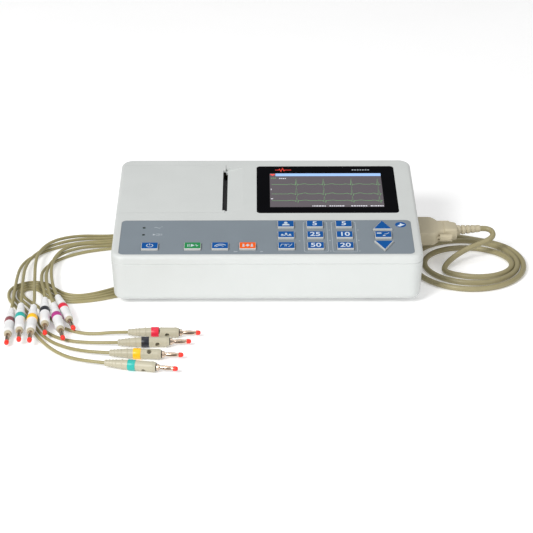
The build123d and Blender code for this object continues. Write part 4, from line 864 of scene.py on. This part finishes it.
# Rows of short dashes in place of words
DASH_LENGTHS, DASH_GAP, DASH_HALF, DASH_REST = (0.008, 0.02), 0.006, 0.011, 0.008
dashes = []
for start, end, y in ((0.085, 0.145, 0.845), (0.37, 0.49, 0.035), (0.52, 0.66, 0.035),
                      (0.71, 0.85, 0.035), (0.88, 0.995, 0.035)):
    x = start
    while x < end - DASH_REST:
        length = random.uniform(*DASH_LENGTHS)
        dashes.append(screen_block(x, min(x + length, end), y - DASH_HALF, y + DASH_HALF))
        x += length + DASH_GAP
dashes += [screen_block(0.008, 0.014, 0.50, 0.54), screen_block(0.008, 0.026, 0.235, 0.255)]
printed("screen_marks", dashes, (0, 0), PRINT_LOW, PRINT_HIGH, "housing", MARKS)
STEP_SIGN = ((0, 0), (0.004, 0), (0.004, 0.02), (0.010, 0.02), (0.010, 0))
calibration = [
    stroke([on_screen(x + dx, 0.845 + dy) for dx, dy in STEP_SIGN], SIGN_WIDTH)
    for x in (0.012, 0.028, 0.044)
]
printed("screen_calibration", calibration, (0, 0), PRINT_LOW, PRINT_HIGH, "housing",
        TRACE)
# Plain ornaments on the bezel
BEZEL_FACE = -0.1
BEZEL_LOW, PULSE_HIGH, DASHES_HIGH = BEZEL_FACE - 0.03, BEZEL_FACE + 0.04, BEZEL_FACE + 0.03
pulse = [(9.0, 176.6), (12.4, 176.6), (13.4, 178.4), (14.8, 173.8), (16.4, 180.2), (17.8, 175.0),
         (18.8, 176.6), (25.0, 176.6)]
printed("bezel_pulse", [stroke(pulse, 1.1)], (0, 0), BEZEL_LOW, PULSE_HIGH, "housing",
        EMBLEM)
bezel_dashes = [block(86.5 + 2.6 * i, 176.6, 1.7, 1.5) for i in range(7)]
printed("bezel_dashes", bezel_dashes, (0, 0), BEZEL_LOW, DASHES_HIGH, "housing", FAINT)

# ---------------------------------------------------------------- what is on each cord
LEAD_LENGTHS = {"r": 0.577, "n": 0.599, "l": 0.616, "f": 0.638, "c1": 0.433, "c6": 0.450,
                "c5": 0.436, "c2": 0.487, "c3": 0.482, "c4": 0.484}
for name, length in LEAD_LENGTHS.items():
    route = LEAD_ROUTES[f"wire_{name}"]
    on_it = pieces_on[name]
    if name == "r":
        on_it = on_it + [NODES["limb_plugs"], NODES["pin_caps"]]
    if name == "c1":
        on_it = on_it + [NODES["chest_plugs"]]

# ---------------------------------------------------------------- floor and light
FLOOR_HALF = 6
FLOOR_GLOW, SKY_STRENGTH = 0.24, 0.35
AIM = (0, 0, 0.03)
floor_mesh = bpy.data.meshes.new("floor")
floor_corners = [(x, y, 0) for x, y in block(0, 0, 2 * FLOOR_HALF, 2 * FLOOR_HALF)]
floor_mesh.from_pydata(floor_corners, [], [(0, 1, 2, 3)])
floor = bpy.data.objects.new("floor", floor_mesh)
bpy.context.scene.collection.objects.link(floor)
floor_mesh.materials.append(
    finish_of("studio_floor", (0.88, 0.88, 0.88, 1), 0.7, vary=0.01, patch=3, grain=600, bump=0.02,
              Emission_Color=(1, 1, 1, 1), Emission_Strength=FLOOR_GLOW)
)

world = bpy.data.worlds.new("studio")
bpy.context.scene.world = world
world.use_nodes = True
sky = world.node_tree.nodes["Background"]
sky.inputs["Color"].default_value = (1, 1, 1, 1)
sky.inputs["Strength"].default_value = SKY_STRENGTH


def softbox(name, place, size, power):
    """One large soft light aimed at the device."""
    lamp = bpy.data.lights.new(name, "AREA")
    lamp.shape = "SQUARE"
    lamp.size = size
    lamp.energy = power
    holder = bpy.data.objects.new(name, lamp)
    holder.location = place
    holder.rotation_euler = (Vector(AIM) - Vector(place)).to_track_quat("-Z", "Y").to_euler()
    bpy.context.scene.collection.objects.link(holder)


softbox("key_light", (-1.5, -2.0, 1.9), 1.0, 74)
softbox("fill_light", (1.7, -1.9, 1.2), 1.6, 17)
softbox("top_light", (0.0, 0.4, 2.4), 1.8, 14)
bpy.context.scene.view_settings.view_transform = "Standard"
